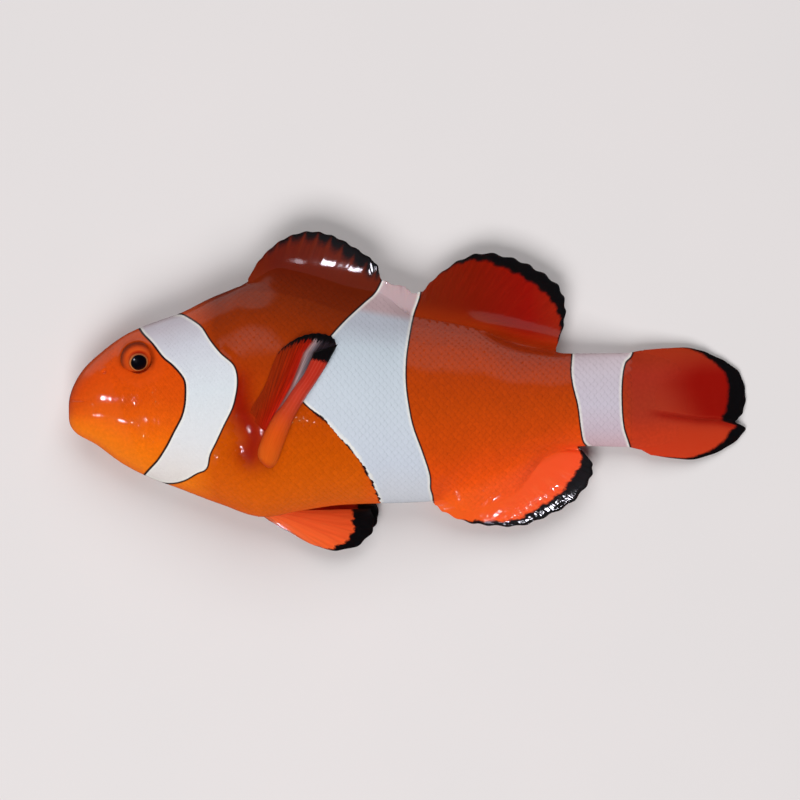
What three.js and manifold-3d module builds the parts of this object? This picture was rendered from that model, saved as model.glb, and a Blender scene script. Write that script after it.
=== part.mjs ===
// Clownfish (Amphiprion ocellaris), full grown, lying on its right side with its fins spread.
// Millimetres: X runs from the snout (-) to the tail (+), Y from the belly (-) to the back (+),
// Z up from the floor. The left flank faces up.
import * as THREE from 'three';
import { mergeVertices } from 'three/addons/utils/BufferGeometryUtils.js';
import Module from 'manifold-3d';

const wasm = await Module();
wasm.setup();

// Driving dimensions
const SNOUT_X = -40.92;
const TAIL_ROOT_X = 26.9;
const STALK_X = 19;
const GAP = 0.3;
const FIN_EDGE = 0.55;
const FIN_ROOT = 1.5;
const COVER_DEPTH = 1.1;
const BODY_RINGS = 44;
const RING_SIDES = 24;
const RING_CROWDING = 1.5;
const PRISM_LOW = -2;
const PRISM_HIGH = 16;
// Heights of the fins' margins: the fins stand out stiffly from the middle plane and droop little
const SPINY_DORSAL_EDGE = 4.7;
const SOFT_DORSAL_EDGE = 2.9;
const ANAL_EDGE = 2.8;

// One smooth curve through [x, value] stations that never overshoots them. It runs in the square
// root of the distance from the snout, so that what starts at the snout starts round.
const fromSnout = (x) => Math.sqrt(Math.max(0, x - SNOUT_X));

function profile(stations) {
  const at = stations.map(([x]) => fromSnout(x));
  const value = stations.map(([, v]) => v);
  const rise = at.slice(1).map((s, i) => (value[i + 1] - value[i]) / (s - at[i]));
  const slope = at.map((_, i) => {
    const before = rise[Math.max(0, i - 1)];
    const after = rise[Math.min(rise.length - 1, i)];
    return before * after <= 0 ? 0 : (2 * before * after) / (before + after);
  });
  return (x) => {
    const s = fromSnout(x);
    let i = 0;
    while (i < rise.length - 1 && s > at[i + 1]) i += 1;
    const span = at[i + 1] - at[i];
    const t = (s - at[i]) / span;
    const bend = (t - 1) * slope[i] + t * slope[i + 1] - (2 * t - 1) * rise[i];
    return value[i] + t * (value[i + 1] - value[i]) + t * (t - 1) * span * bend;
  };
}

// The body: the line of the back, the line of the belly, half the thickness, and the height of
// the middle plane, which sinks towards the floor as the body thins to the tail.
const backLine = profile([
  [SNOUT_X, -2.2], [-40.68, -0.3], [-40.08, 1.26], [-38.88, 3.06], [-37.08, 4.74], [-33.48, 7.26],
  [-29.88, 8.7], [-27.48, 9.54], [-22.68, 11.82], [-18.6, 13.05], [-13, 12.1], [-7, 10.3],
  [1.3, 8.75], [8.5, 7.35], [14.2, 5.3], [19.7, 4.75], [TAIL_ROOT_X, 4.8],
]);
const bellyLine = profile([
  [SNOUT_X, -2.2], [-40.68, -3.9], [-39.96, -4.86], [-37.68, -5.94], [-34.08, -8.46],
  [-31.08, -10.14], [-27.48, -11.58], [-22.68, -13.38], [-17.3, -14.95], [-13, -14.2],
  [-8, -13.5], [2.64, -13.1], [6.96, -11.7], [11.76, -9.9], [15, -8.34], [20.3, -6.5],
  [TAIL_ROOT_X, -6.6],
]);
const halfThickness = profile([
  [SNOUT_X, 0], [-40, 1.6], [-38, 2.6], [-35, 3.5], [-32.4, 4.3], [-28, 5.3], [-22, 6], [-15, 6.3],
  [-8, 6.15], [0, 5.6], [8, 4.6], [16, 3.5], [21, 2.6], [25.5, 1.75], [TAIL_ROOT_X, 1.3],
]);
const midHeight = profile([
  [SNOUT_X, 4.6], [-35, 5], [-30, 5.25], [-26, 5.45], [-22, 5.75], [-15, 6.02], [-8, 5.9],
  [0, 5.35], [8, 4.7], [16, 3.75], [21, 3], [TAIL_ROOT_X, 2.2],
]);

// How far a flank bulges at a height across the body, from -1 at the belly to 1 at the back.
const RIDGE_POWER = 2.4;
const FLANK_POWER = 0.7;
const bulge = (across) => (1 - Math.min(1, Math.abs(across)) ** RIDGE_POWER) ** FLANK_POWER;
const middle = (x) => (backLine(x) + bellyLine(x)) / 2;
const halfDepth = (x) => (backLine(x) - bellyLine(x)) / 2;
const flankTop = (x, y) => midHeight(x) + halfThickness(x) * bulge((y - middle(x)) / halfDepth(x));

function solidOf(geometry) {
  const bare = geometry.index ? geometry.clone() : geometry;
  bare.deleteAttribute('normal');
  bare.deleteAttribute('uv');
  const merged = mergeVertices(bare, 1e-4);
  return new wasm.Manifold(new wasm.Mesh({
    numProp: 3,
    vertProperties: merged.attributes.position.array,
    triVerts: Uint32Array.from(merged.index.array),
  }));
}

function geometryOf(solid) {
  const mesh = solid.getMesh();
  const geometry = new THREE.BufferGeometry();
  geometry.setAttribute('position', new THREE.BufferAttribute(mesh.vertProperties, 3));
  geometry.setIndex(new THREE.BufferAttribute(mesh.triVerts, 1));
  geometry.computeVertexNormals();
  return geometry;
}

function closedMesh(points, triangles) {
  const geometry = new THREE.BufferGeometry();
  geometry.setAttribute('position', new THREE.Float32BufferAttribute(points.flat(), 3));
  geometry.setIndex(triangles.flat());
  return solidOf(geometry);
}

// The whole body as one loft, or the same drawn in by an inset. What would lie lower than the
// floor is pressed flat on it.
function bodySolid(inset = 0) {
  const start = SNOUT_X + 2 * inset;
  const end = TAIL_ROOT_X;
  const tip = [start, middle(start), midHeight(start)];
  const points = [tip];
  for (let i = 1; i <= BODY_RINGS; i += 1) {
    const x = start + (end - start) * (i / BODY_RINGS) ** RING_CROWDING;
    const depth = Math.max(0.1, halfDepth(x) - inset);
    const width = Math.max(0.1, halfThickness(x) - inset);
    for (let j = 0; j < RING_SIDES; j += 1) {
      const angle = (2 * Math.PI * j) / RING_SIDES;
      const across = Math.cos(angle);
      const side = Math.sign(Math.round(Math.sin(angle) * 1e6));
      const z = midHeight(x) + side * width * bulge(across);
      points.push([x, middle(x) + depth * across, Math.max(0, z)]);
    }
  }
  points.push([end, middle(end), midHeight(end)]);
  const last = points.length - 1;
  const ring = (i, j) => 1 + i * RING_SIDES + (j % RING_SIDES);
  const triangles = [];
  for (let j = 0; j < RING_SIDES; j += 1) {
    triangles.push([0, ring(0, j + 1), ring(0, j)]);
    triangles.push([last, ring(BODY_RINGS - 1, j), ring(BODY_RINGS - 1, j + 1)]);
    for (let i = 0; i < BODY_RINGS - 1; i += 1) {
      triangles.push([ring(i, j), ring(i, j + 1), ring(i + 1, j + 1)]);
      triangles.push([ring(i, j), ring(i + 1, j + 1), ring(i + 1, j)]);
    }
  }
  return closedMesh(points, triangles);
}

// An upright block with the given outline seen from above.
function prism(outline, low = PRISM_LOW, high = PRISM_HIGH) {
  const shape = new THREE.Shape(outline.map(([x, y]) => new THREE.Vector2(x, y)));
  const geometry = new THREE.ExtrudeGeometry(shape, { depth: high - low, bevelEnabled: false });
  geometry.translate(0, 0, low);
  return solidOf(geometry);
}

const curveThrough = (points) => new THREE.SplineCurve(points.map(([x, y]) => new THREE.Vector2(x, y)));
const smooth = (points, steps) => curveThrough(points).getPoints(steps).map((p) => [p.x, p.y]);
const shifted = (points, dx) => points.map(([x, y]) => [x + dx, y]);

// An outline drawn out from its middle by a distance.
function grown(outline, by) {
  const cx = outline.reduce((sum, [x]) => sum + x, 0) / outline.length;
  const cy = outline.reduce((sum, [, y]) => sum + y, 0) / outline.length;
  return outline.map(([x, y]) => {
    const reach = Math.hypot(x - cx, y - cy);
    return [x + ((x - cx) * by) / reach, y + ((y - cy) * by) / reach];
  });
}

// A fin: a plate between its root curve and its margin, thick at the root and thin at the margin.
// lift(u, v, x, y) is the height of its middle, with u along the fin and v from root to margin.
function finSolid({ root, margin, lift, columns, rows, rootThickness = FIN_ROOT }) {
  const points = [];
  for (let i = 0; i <= columns; i += 1) {
    const u = i / columns;
    const [a, b] = [root(u), margin(u)];
    for (let j = 0; j <= rows; j += 1) {
      const v = j / rows;
      const x = THREE.MathUtils.lerp(a.x, b.x, v);
      const y = THREE.MathUtils.lerp(a.y, b.y, v);
      const thick = THREE.MathUtils.lerp(FIN_EDGE, rootThickness, (1 - v) ** 2);
      const low = Math.max(0, lift(u, v, x, y) - thick / 2);
      points.push([x, y, low], [x, y, low + thick]);
    }
  }
  const corners = [root(0), root(1), margin(1), margin(0)];
  const runsLeft = THREE.ShapeUtils.area(corners) > 0;
  const at = (i, j, top) => 2 * (i * (rows + 1) + j) + top;
  const triangles = [];
  const quad = (a, b, c, d) => {
    triangles.push(runsLeft ? [a, b, c] : [a, c, b], runsLeft ? [a, c, d] : [a, d, c]);
  };
  for (let i = 0; i < columns; i += 1) {
    for (let j = 0; j < rows; j += 1) {
      quad(at(i, j, 1), at(i + 1, j, 1), at(i + 1, j + 1, 1), at(i, j + 1, 1));
      quad(at(i, j, 0), at(i, j + 1, 0), at(i + 1, j + 1, 0), at(i + 1, j, 0));
    }
    quad(at(i, 0, 0), at(i + 1, 0, 0), at(i + 1, 0, 1), at(i, 0, 1));
    quad(at(i, rows, 1), at(i + 1, rows, 1), at(i + 1, rows, 0), at(i, rows, 0));
  }
  for (let j = 0; j < rows; j += 1) {
    quad(at(0, j, 1), at(0, j + 1, 1), at(0, j + 1, 0), at(0, j, 0));
    quad(at(columns, j, 0), at(columns, j + 1, 0), at(columns, j + 1, 1), at(columns, j, 1));
  }
  return closedMesh(points, triangles);
}

const marginThrough = (points) => {
  const curve = curveThrough(points);
  return (u) => curve.getPoint(u);
};

// A root that follows the back or the belly, just clear of it. Its rays lean back, so the root is
// crowded towards the front by the rake.
const rootAlong = (line, from, to, clear, rake) => (u) => {
  const x = THREE.MathUtils.lerp(from, to, u ** rake);
  return new THREE.Vector2(x, line(x) + clear);
};
const rootBetween = (from, to) => (u) => new THREE.Vector2(
  THREE.MathUtils.lerp(from[0], to[0], u),
  THREE.MathUtils.lerp(from[1], to[1], u),
);

// A fin on the middle plane that sinks to a given height at its margin.
const sinkTo = (edgeHeight) => (u, v, x) => {
  const ease = v * v * (3 - 2 * v);
  return THREE.MathUtils.lerp(midHeight(x), edgeHeight, ease);
};

// Cuts that part the body
const body = bodySolid();
const headEnd = smooth([
  [-25.8, 17], [-24.7, 10], [-22.6, 5.3], [-20.6, 3.1], [-20.1, 1], [-20.8, -2], [-22.6, -5.8],
  [-23.9, -9], [-26.8, -11.6], [-31, -17],
], 16);
const inFrontOf = (edge) => prism([...edge, [-50, edge.at(-1)[1]], [-50, edge[0][1]]]);
const behind = (edge) => prism([...edge, [STALK_X, edge.at(-1)[1]], [STALK_X, edge[0][1]]]);
const beyond = (x) => prism([[x, -20], [x + 20, -20], [x + 20, 20], [x, 20]]);

// Gill covers: plates over the rear of the cheek, open at the rear edge
const coverOutline = [
  ...smooth([[-24.6, 6.4], [-27.4, 5.8], [-29.2, 2.8], [-29.9, -1.5], [-30.1, -5.8], [-28.6, -8.8],
    [-25.2, -9.2]], 10),
  [-18, -9.2],
  [-18, 6.4],
];
const coverHalf = (side) => {
  const low = side > 0 ? midHeight(-26) + GAP : PRISM_LOW;
  const high = side > 0 ? PRISM_HIGH : midHeight(-26) - GAP;
  return inFrontOf(headEnd)
    .intersect(body)
    .intersect(prism(coverOutline, low, high))
    .subtract(bodySolid(COVER_DEPTH));
};
const coverBed = prism(grown(coverOutline, GAP)).subtract(bodySolid(COVER_DEPTH + GAP));

// Lower jaw: a shut mouth, with its corner turned down
const jawOutline = [
  [-44, -1], [-40.4, -1.05], [-37.7, -1.35], [-36.9, -2.6], [-34.9, -10], [-37, -12], [-44, -12],
];

// Eyes: slightly flattened balls that stand a little proud of each side of the head
const EYE = { x: -32.4, y: 4, radius: 2.05, depth: 1.65, proud: 0.65 };
const EYE_TURNS = 16;
function eyeSolid(side, clear = 0) {
  const ball = new THREE.SphereGeometry(1, EYE_TURNS, EYE_TURNS / 2);
  ball.rotateX(Math.PI / 2);
  ball.scale(EYE.radius + clear, EYE.radius + clear, EYE.depth + clear);
  const reach = flankTop(EYE.x, EYE.y) - midHeight(EYE.x) + EYE.proud - EYE.depth;
  ball.translate(EYE.x, EYE.y, midHeight(EYE.x) + side * reach);
  return solidOf(ball);
}

const head = inFrontOf(headEnd)
  .intersect(body)
  .subtract(coverBed)
  .subtract(prism(grown(jawOutline, GAP)))
  .subtract(eyeSolid(1, GAP))
  .subtract(eyeSolid(-1, GAP));

// Right breast fin: folded flat between the flank and the floor, in a shallow bed
const rightPectoralOutline = smooth([
  [-20.2, -2.4], [-18.2, 1.2], [-15.8, 4.6], [-12.8, 6.6], [-9.6, 7], [-9.4, 4.4], [-11.6, 0.6],
  [-14, -3.6], [-16.6, -7.6], [-18.8, -6.4], [-20.2, -2.4],
], 30).slice(0, -1);
const rightPectoralBed = prism(grown(rightPectoralOutline, GAP), PRISM_LOW, FIN_EDGE + GAP);

const trunk = behind(shifted(headEnd, GAP)).intersect(body).subtract(rightPectoralBed);
const tailStalk = beyond(STALK_X + GAP).intersect(body);

// Fins on the middle plane
const dorsalSpiny = finSolid({
  root: rootAlong(backLine, -19.2, -0.95, GAP, 1.55),
  margin: marginThrough([
    [-19.3, 13.5], [-17.9, 16], [-15.5, 18.2], [-12.4, 19.25], [-9.4, 18.9], [-6.5, 17.5],
    [-4.1, 15.7], [-3.4, 13.3], [-0.95, 12.7],
  ]),
  lift: sinkTo(SPINY_DORSAL_EDGE),
  columns: 24,
  rows: 5,
});
const SOFT_DORSAL_SWELL = 0.8;
const dorsalSoft = finSolid({
  root: rootAlong(backLine, -0.6, 17.7, GAP, 1.5),
  margin: marginThrough([
    [-0.6, 12.7], [1.4, 12.3], [3.2, 13.8], [5.7, 15.8], [9, 16.8], [12.6, 16.3], [15.5, 15.1],
    [18.2, 12.7], [18.8, 9.9], [18.6, 7.4], [17.7, 5.5],
  ]),
  lift: (u, v, x) => sinkTo(SOFT_DORSAL_EDGE)(u, v, x)
    + SOFT_DORSAL_SWELL * Math.sin(Math.PI * u) ** 2 * Math.sin(Math.PI * Math.min(1, 2 * v)) ** 2,
  columns: 26,
  rows: 7,
});
const analFin = finSolid({
  root: rootAlong(bellyLine, 3, 20.2, -GAP, 1.4),
  margin: marginThrough([
    [3, -13.5], [4.2, -14.4], [6.9, -15.6], [10.6, -16.1], [13.8, -16], [17.4, -14.7], [20.3, -12.5],
    [21.8, -10.2], [22, -8.2], [20.4, -6.9],
  ]),
  lift: sinkTo(ANAL_EDGE),
  columns: 24,
  rows: 5,
});

// Tail fin: rounded, with its upper half lapping over the lower along a fold near the middle ray
const FOLD = { at: 0.62, width: 0.05, height: 0.5 };
const caudalFin = finSolid({
  root: rootBetween([TAIL_ROOT_X + GAP, 4.4], [TAIL_ROOT_X + GAP, -6.2]),
  margin: marginThrough([
    [28.4, 5.1], [33.4, 5.5], [37.1, 4.4], [39.9, 2.2], [40.75, 0], [40.2, -2.6], [39.6, -3.6],
    [40.92, -4.5], [38.4, -6.5], [34, -8.2], [29, -7.5],
  ]),
  lift: (u, v, x) => sinkTo(FIN_EDGE / 2)(u, v ** 0.6, x)
    + FOLD.height * Math.min(1, 2 * v) * THREE.MathUtils.smoothstep(u, 0, FOLD.at)
    * (1 - THREE.MathUtils.smoothstep(u, FOLD.at, FOLD.at + FOLD.width)),
  columns: 26,
  rows: 6,
  rootThickness: 2.2,
});

// Breast fin of the upper side: half shut, pointing up and back over the flank in two lobes
const PECTORAL_RIDGE = { at: 0.72, width: 0.2, height: 1.1 };
const onFlank = (u, v, x, y) => {
  const ridge = PECTORAL_RIDGE.height * Math.exp(-(((u - PECTORAL_RIDGE.at) / PECTORAL_RIDGE.width) ** 2));
  const root = THREE.MathUtils.lerp(FIN_ROOT, FIN_EDGE, Math.min(1, 2 * v)) / 2;
  return flankTop(x, y) + GAP + root + ridge * Math.sin(Math.PI * Math.min(1, v + 0.12));
};
const leftPectoral = finSolid({
  root: rootBetween([-19.9, -2.1], [-17.9, -8.9]),
  margin: marginThrough([
    [-19.3, -0.6], [-17.7, 1.6], [-16.2, 4], [-13.8, 6.2], [-11, 7.4], [-8.5, 7.6], [-8.4, 5.4],
    [-10.2, 2.2], [-12.4, -1.2], [-14.2, -5], [-16.2, -8.6],
  ]),
  lift: onFlank,
  columns: 22,
  rows: 6,
});

// Belly fins: a pair side by side under the breast, the upper one spread past the belly's edge
function pelvicSolid(dx, dy, rootHeight, tipHeight) {
  const moved = ([x, y]) => [x + dx, y + dy];
  return finSolid({
    root: rootBetween(moved([-17.6, -15.35]), moved([-15.6, -15.1])),
    margin: marginThrough([
      [-16.9, -15.9], [-14.2, -17.15], [-11.4, -18.5], [-8.8, -19.15], [-6.2, -18.6], [-4.5, -17.2],
      [-4.1, -15.6], [-4.7, -14],
    ].map(moved)),
    lift: (u, v) => THREE.MathUtils.lerp(rootHeight, tipHeight, v),
    columns: 16,
    rows: 4,
    rootThickness: 1.1,
  });
}

const COLOURS = {
  orange: '#c8481a',
  deepRed: '#6d140b',
  brightOrange: '#ec5a2a',
  tailRed: '#a81c10',
  eye: '#15130f',
};
const pieces = [
  ['head', head, COLOURS.orange],
  ['lower_jaw', prism(jawOutline).intersect(body), COLOURS.orange],
  ['gill_cover_left', coverHalf(1), COLOURS.orange],
  ['gill_cover_right', coverHalf(-1), COLOURS.orange],
  ['eye_left', eyeSolid(1), COLOURS.eye],
  ['eye_right', eyeSolid(-1), COLOURS.eye],
  ['trunk', trunk, COLOURS.orange],
  ['tail_stalk', tailStalk, COLOURS.orange],
  ['dorsal_fin_spiny', dorsalSpiny, COLOURS.deepRed],
  ['dorsal_fin_soft', dorsalSoft, COLOURS.deepRed],
  ['anal_fin', analFin, COLOURS.brightOrange],
  ['caudal_fin', caudalFin, COLOURS.tailRed],
  ['pectoral_fin_left', leftPectoral, COLOURS.tailRed],
  ['pectoral_fin_right', prism(rightPectoralOutline, 0, FIN_EDGE), COLOURS.tailRed],
  ['pelvic_fin_left', pelvicSolid(0, 0, 5.6, 2.6), COLOURS.brightOrange],
  ['pelvic_fin_right', pelvicSolid(0.5, 1, 3.1, 1.2), COLOURS.brightOrange],
];

const clownfish = new THREE.Group();
for (const [name, solid, color] of pieces) {
  const material = new THREE.MeshStandardMaterial({ color, roughness: 0.35, metalness: 0 });
  const mesh = new THREE.Mesh(geometryOf(solid), material);
  mesh.name = name;
  clownfish.add(mesh);
}

export default clownfish;
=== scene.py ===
"""Clownfish (Amphiprion ocellaris), full grown, lying on its right side: what shows of it.

Shapes are worked out in millimetres, as the solids are, and become metres when a mesh is made. X runs
from the snout to the tail, Y from the belly to the back, Z up from the floor; the left flank faces up.
"""

import math
import bmesh
import bpy
import numpy as np
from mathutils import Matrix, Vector


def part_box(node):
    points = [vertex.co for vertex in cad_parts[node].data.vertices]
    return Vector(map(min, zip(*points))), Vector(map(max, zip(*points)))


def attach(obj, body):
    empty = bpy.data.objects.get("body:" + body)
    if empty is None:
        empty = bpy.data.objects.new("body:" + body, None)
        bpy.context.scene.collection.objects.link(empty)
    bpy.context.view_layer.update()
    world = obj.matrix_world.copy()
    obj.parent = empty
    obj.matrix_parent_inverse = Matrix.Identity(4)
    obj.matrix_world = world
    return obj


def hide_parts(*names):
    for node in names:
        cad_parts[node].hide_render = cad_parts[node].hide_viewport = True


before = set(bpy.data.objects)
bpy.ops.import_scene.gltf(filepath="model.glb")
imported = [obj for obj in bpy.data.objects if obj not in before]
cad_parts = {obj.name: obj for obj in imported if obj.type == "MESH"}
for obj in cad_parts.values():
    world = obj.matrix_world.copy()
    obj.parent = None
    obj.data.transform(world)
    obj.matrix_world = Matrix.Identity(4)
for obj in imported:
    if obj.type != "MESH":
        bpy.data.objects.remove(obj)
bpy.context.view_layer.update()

# --------------------------------------------------------------------------------------------
# Skin: one unbroken hide over the whole body, from the lips to the root of the tail fin, and a
# little way up the upright fins. It is wet, soft tissue over bone, lofted ring by ring, with the
# mouth, nostril, eye socket and gill opening pressed into it, and it carries the white bars.
MM = 0.001
SNOUT_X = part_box("lower_jaw")[0].x / MM
SKIN_END_X = 33.6
SCALE_DEPTH = 0.05
SKIN_RINGS = 400
RING_CROWDING = 1.35
UPPER_COLUMNS = 150
LOWER_COLUMNS = 86
FLOOR_CLEARANCE = 0.04


def profile(stations):
    """A smooth curve through (x, value) stations that never overshoots and starts round at the snout."""
    at = np.sqrt([x - SNOUT_X for x, _ in stations])
    value = np.array([v for _, v in stations], float)
    rise = np.diff(value) / np.diff(at)
    before, after = np.r_[rise[0], rise], np.r_[rise, rise[-1]]
    alike = before * after > 0
    slope = np.where(alike, 2 * before * after / np.where(alike, before + after, 1), 0)

    def value_at(x):
        s = np.clip(np.sqrt(np.maximum(0, x - SNOUT_X)), at[0], at[-1])
        i = np.clip(np.searchsorted(at, s) - 1, 0, len(rise) - 1)
        span = at[i + 1] - at[i]
        t = (s - at[i]) / span
        bend = (t - 1) * slope[i] + t * slope[i + 1] - (2 * t - 1) * rise[i]
        return value[i] + t * (value[i + 1] - value[i]) + t * (t - 1) * span * bend

    return value_at


back_line = profile([
    (SNOUT_X, -2.2), (-40.68, -0.3), (-40.08, 1.26), (-38.88, 3.06), (-37.08, 4.74), (-33.48, 7.26),
    (-29.88, 8.7), (-27.48, 9.54), (-22.68, 11.82), (-18.6, 13.05), (-13, 12.1), (-7, 10.3),
    (1.3, 8.75), (8.5, 7.35), (14.2, 5.3), (19.7, 4.75), (26.9, 4.8), (30, 4.5), (SKIN_END_X, 3.2),
])
belly_line = profile([
    (SNOUT_X, -2.2), (-40.68, -3.9), (-39.96, -4.9), (-37.68, -6.2), (-34.08, -8.75),
    (-31.08, -10.25), (-27.48, -11.58), (-22.68, -13.38), (-17.3, -14.95), (-13, -14.2),
    (-8, -13.5), (2.64, -13.1), (6.96, -11.7), (11.76, -9.9), (15, -8.34), (20.3, -6.5),
    (26.9, -6.6), (30, -6.5), (SKIN_END_X, -5.2),
])
half_thickness = profile([
    (SNOUT_X, 0), (-40, 1.6), (-38, 2.6), (-35, 3.5), (-32.4, 4.3), (-28, 5.3), (-22, 6), (-15, 6.3),
    (-8, 6.15), (0, 5.6), (8, 4.6), (16, 3.5), (21, 2.6), (25.5, 1.75), (26.9, 1.35), (28.5, 0.9),
    (30, 0.52), (31.6, 0.24), (SKIN_END_X, 0.03),
])
mid_height = profile([
    (SNOUT_X, 4.6), (-35, 5), (-30, 5.25), (-26, 5.45), (-22, 5.75), (-15, 6.02), (-8, 5.9),
    (0, 5.35), (8, 4.7), (16, 3.75), (21, 3), (26.9, 2.2), (30, 1.7), (34, 1.05), (38, 0.5), (41.5, 0.3),
])
RIDGE_POWER = 2.4
FLANK_POWER = 0.7


def bulge(across):
    """How far a flank bulges at a height across the body, from -1 at the belly to 1 at the back."""
    return (1 - np.minimum(1, np.abs(across)) ** RIDGE_POWER) ** FLANK_POWER


def middle(x):
    return (back_line(x) + belly_line(x)) / 2


def half_depth(x):
    return (back_line(x) - belly_line(x)) / 2


def smooth_step(low, high, value):
    t = np.clip((value - low) / (high - low), 0, 1)
    return t * t * (3 - 2 * t)


def hump(value, width):
    """1 where the value is 0, fading away on both sides over a width."""
    return np.exp(-((value / width) ** 2))


def through(points):
    """A curve through points, as a function of u from 0 to 1."""
    p = np.array(points, float)

    def point_at(u):
        s = np.clip(np.asarray(u, float), 0, 1) * (len(p) - 1)
        i = np.minimum(s.astype(int), len(p) - 2)
        t = (s - i)[..., None]
        p0, p1, p2 = p[np.maximum(i - 1, 0)], p[i], p[i + 1]
        p3 = p[np.minimum(i + 2, len(p) - 1)]
        v0, v1 = (p2 - p0) / 2, (p3 - p1) / 2
        return (2 * p1 - 2 * p2 + v0 + v1) * t**3 + (3 * p2 - 3 * p1 - 2 * v0 - v1) * t**2 + v0 * t + p1

    return point_at


def distance_to(x, y, line):
    """The distance of each place (x, y) from a drawn line, and whether it lies inside it when closed."""
    nearest = np.full(x.shape, 1e9)
    inside = np.zeros(x.shape, bool)
    for (ax, ay), (bx, by) in zip(line, np.roll(line, -1, axis=0)):
        dx, dy = bx - ax, by - ay
        t = np.clip(((x - ax) * dx + (y - ay) * dy) / max(dx * dx + dy * dy, 1e-12), 0, 1)
        nearest = np.minimum(nearest, (x - ax - t * dx) ** 2 + (y - ay - t * dy) ** 2)
        crosses = (ay > y) != (by > y)
        if dy:
            inside ^= crosses & (x < ax + (y - ay) * dx / dy)
    return np.sqrt(nearest), inside


def open_distance(x, y, points, steps=24):
    """The distance from an open curve: it is walked out and back, so that closing it adds nothing."""
    line = through(points)(np.linspace(0, 1, steps))
    return distance_to(x, y, np.vstack([line, line[::-1]]))[0]


# Where the middle sheet of the body and of its upright fins lies. The fins droop a little outwards.
# The foot of the soft back fin is swollen along a ridge, with a crease between it and the back.
SPINY_EDGE, SOFT_EDGE, ANAL_EDGE = 4.7, 2.9, 2.8
BACK_DROOP, ANAL_DROOP = 8.5, 6.5
FOOT_RIDGE = [(5.5, 9.2), (8.5, 8.3), (11.5, 7.8), (15, 7.1), (17.8, 6.4)]
BACK_CREASE = [(9, 7.4), (11, 6.7), (14.4, 5.8), (18, 5.1)]
TIP_ROLL = [(-20, 15.4), (-16, 15.85), (-13.4, 15.6), (-10, 15.3), (-6, 14.6), (-3, 13.6)]
TIP_DROOP = 0.16
ROLL_SOFTNESS = 0.42
BELLY_CREASE = [(15, -7.2), (17.5, -6.75), (20.8, -6.9)]
TAIL_FOLD = [(28.5, -1.9), (30, -2.1), (32.6, -2.5), (35, -2.9), (37.4, -3), (39.6, -3.5), (42, -4.2)]
TAIL_LAP = 0.45


def lie(x, y):
    """The height of the middle sheet at a place."""
    level = mid_height(x)
    drooping = smooth_step(25, 22, x)
    edge = np.interp(x, (-4, 2), (SPINY_EDGE, SOFT_EDGE))
    out = np.clip((y - back_line(x)) / BACK_DROOP, 0, 1)
    z = level + drooping * (edge - level) * 1.15 * out**2 / (out + 0.15)
    z = z + drooping * (ANAL_EDGE - level) * smooth_step(0, ANAL_DROOP, belly_line(x) - y)
    foot = (x > 4) & (x < 22) & (y > 2)
    fx, fy = x[foot], y[foot]
    z[foot] += 0.42 * hump(open_distance(fx, fy, FOOT_RIDGE), 0.9) * smooth_step(5.5, 9.5, fx)
    z[foot] -= 0.3 * hump(open_distance(fx, fy, BACK_CREASE), 0.6) * smooth_step(7.6, 12, fx)
    beyond_roll = (y - np.interp(x, *np.array(TIP_ROLL).T)) / ROLL_SOFTNESS
    sag = TIP_DROOP * ROLL_SOFTNESS * np.logaddexp(0, beyond_roll) * smooth_step(-19, -15.5, x)
    z -= sag * smooth_step(-2, -5, x)
    z -= (x + 10) ** 2 / 170 * smooth_step(0, 3, y - back_line(x)) * smooth_step(-2, -5, x)
    foot = (x > 12) & (x < 24) & (y < -4)
    fx, fy = x[foot], y[foot]
    z[foot] -= 0.3 * hump(open_distance(fx, fy, BELLY_CREASE), 0.35) * smooth_step(14.5, 17.5, fx)
    fold_y = np.interp(x, *np.array(TAIL_FOLD).T)
    lap = np.where(y > fold_y, hump(y - fold_y, 2.6), smooth_step(-0.5, 0, y - fold_y))
    return z + TAIL_LAP * lap * smooth_step(29, 35, x)


# How thick the body is. Under an upright fin the flank doesn't close but runs out along the fin.
RUN_OUT = 0.72
RUN_OUT_SLOPE = -FLANK_POWER * RIDGE_POWER * RUN_OUT ** (RIDGE_POWER - 1) \
    * (1 - RUN_OUT**RIDGE_POWER) ** (FLANK_POWER - 1)


def run_out(x, side):
    """How much the flank runs out at the back (side 1) or the belly (side -1), how far in mm, and how
    crisply it ends there: 0 is smooth, 1 is a crease."""
    onto_tail = smooth_step(26.2, 28.4, x)
    if side > 0:
        share = smooth_step(-21, -16.5, x) * (1 - 0.55 * smooth_step(7, 11, x)) * smooth_step(18.8, 16.5, x)
        reach = 2.8 * smooth_step(-20.5, -15, x) * (1 - 0.88 * smooth_step(-4, 0.5, x))
        reach = reach * smooth_step(18.6, 16.4, x)
        crisp = 0.9 * smooth_step(-4, 0.5, x) * smooth_step(26, 24, x)
    else:
        share = smooth_step(2.2, 5.2, x) * (1 - 0.5 * smooth_step(14, 18, x)) * smooth_step(21, 18.8, x)
        reach = 3.4 * smooth_step(3.2, 7.5, x) * (1 - 0.88 * smooth_step(12.5, 16.5, x))
        reach = reach * smooth_step(21, 18.8, x)
        crisp = 0.5 * smooth_step(12.5, 16.5, x) * smooth_step(26, 24, x)
    return share + onto_tail, reach + 0.4 * onto_tail, crisp


def thickness(x, y):
    """Half the thickness of the body at a place."""
    half, depth = half_thickness(x), half_depth(x)
    place = (y - middle(x)) / depth
    result = half * bulge(place)
    for side in (1, -1):
        share, reach, crisp = run_out(x, side)
        span = (1 - RUN_OUT) * depth + reach
        t = np.clip((side * place - RUN_OUT) * depth / span, 0, 1)
        runs = half * bulge(RUN_OUT) * (2 * t**3 - 3 * t**2 + 1 + crisp * (t**2 - t**3))
        runs = runs + RUN_OUT_SLOPE * half * span / depth * (t**3 - 2 * t**2 + t)
        result = np.where(side * place > RUN_OUT, result * (1 - share) + runs * share, result)
    return result


def flank_top(x, y):
    return lie(x, y) + thickness(x, y)


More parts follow.
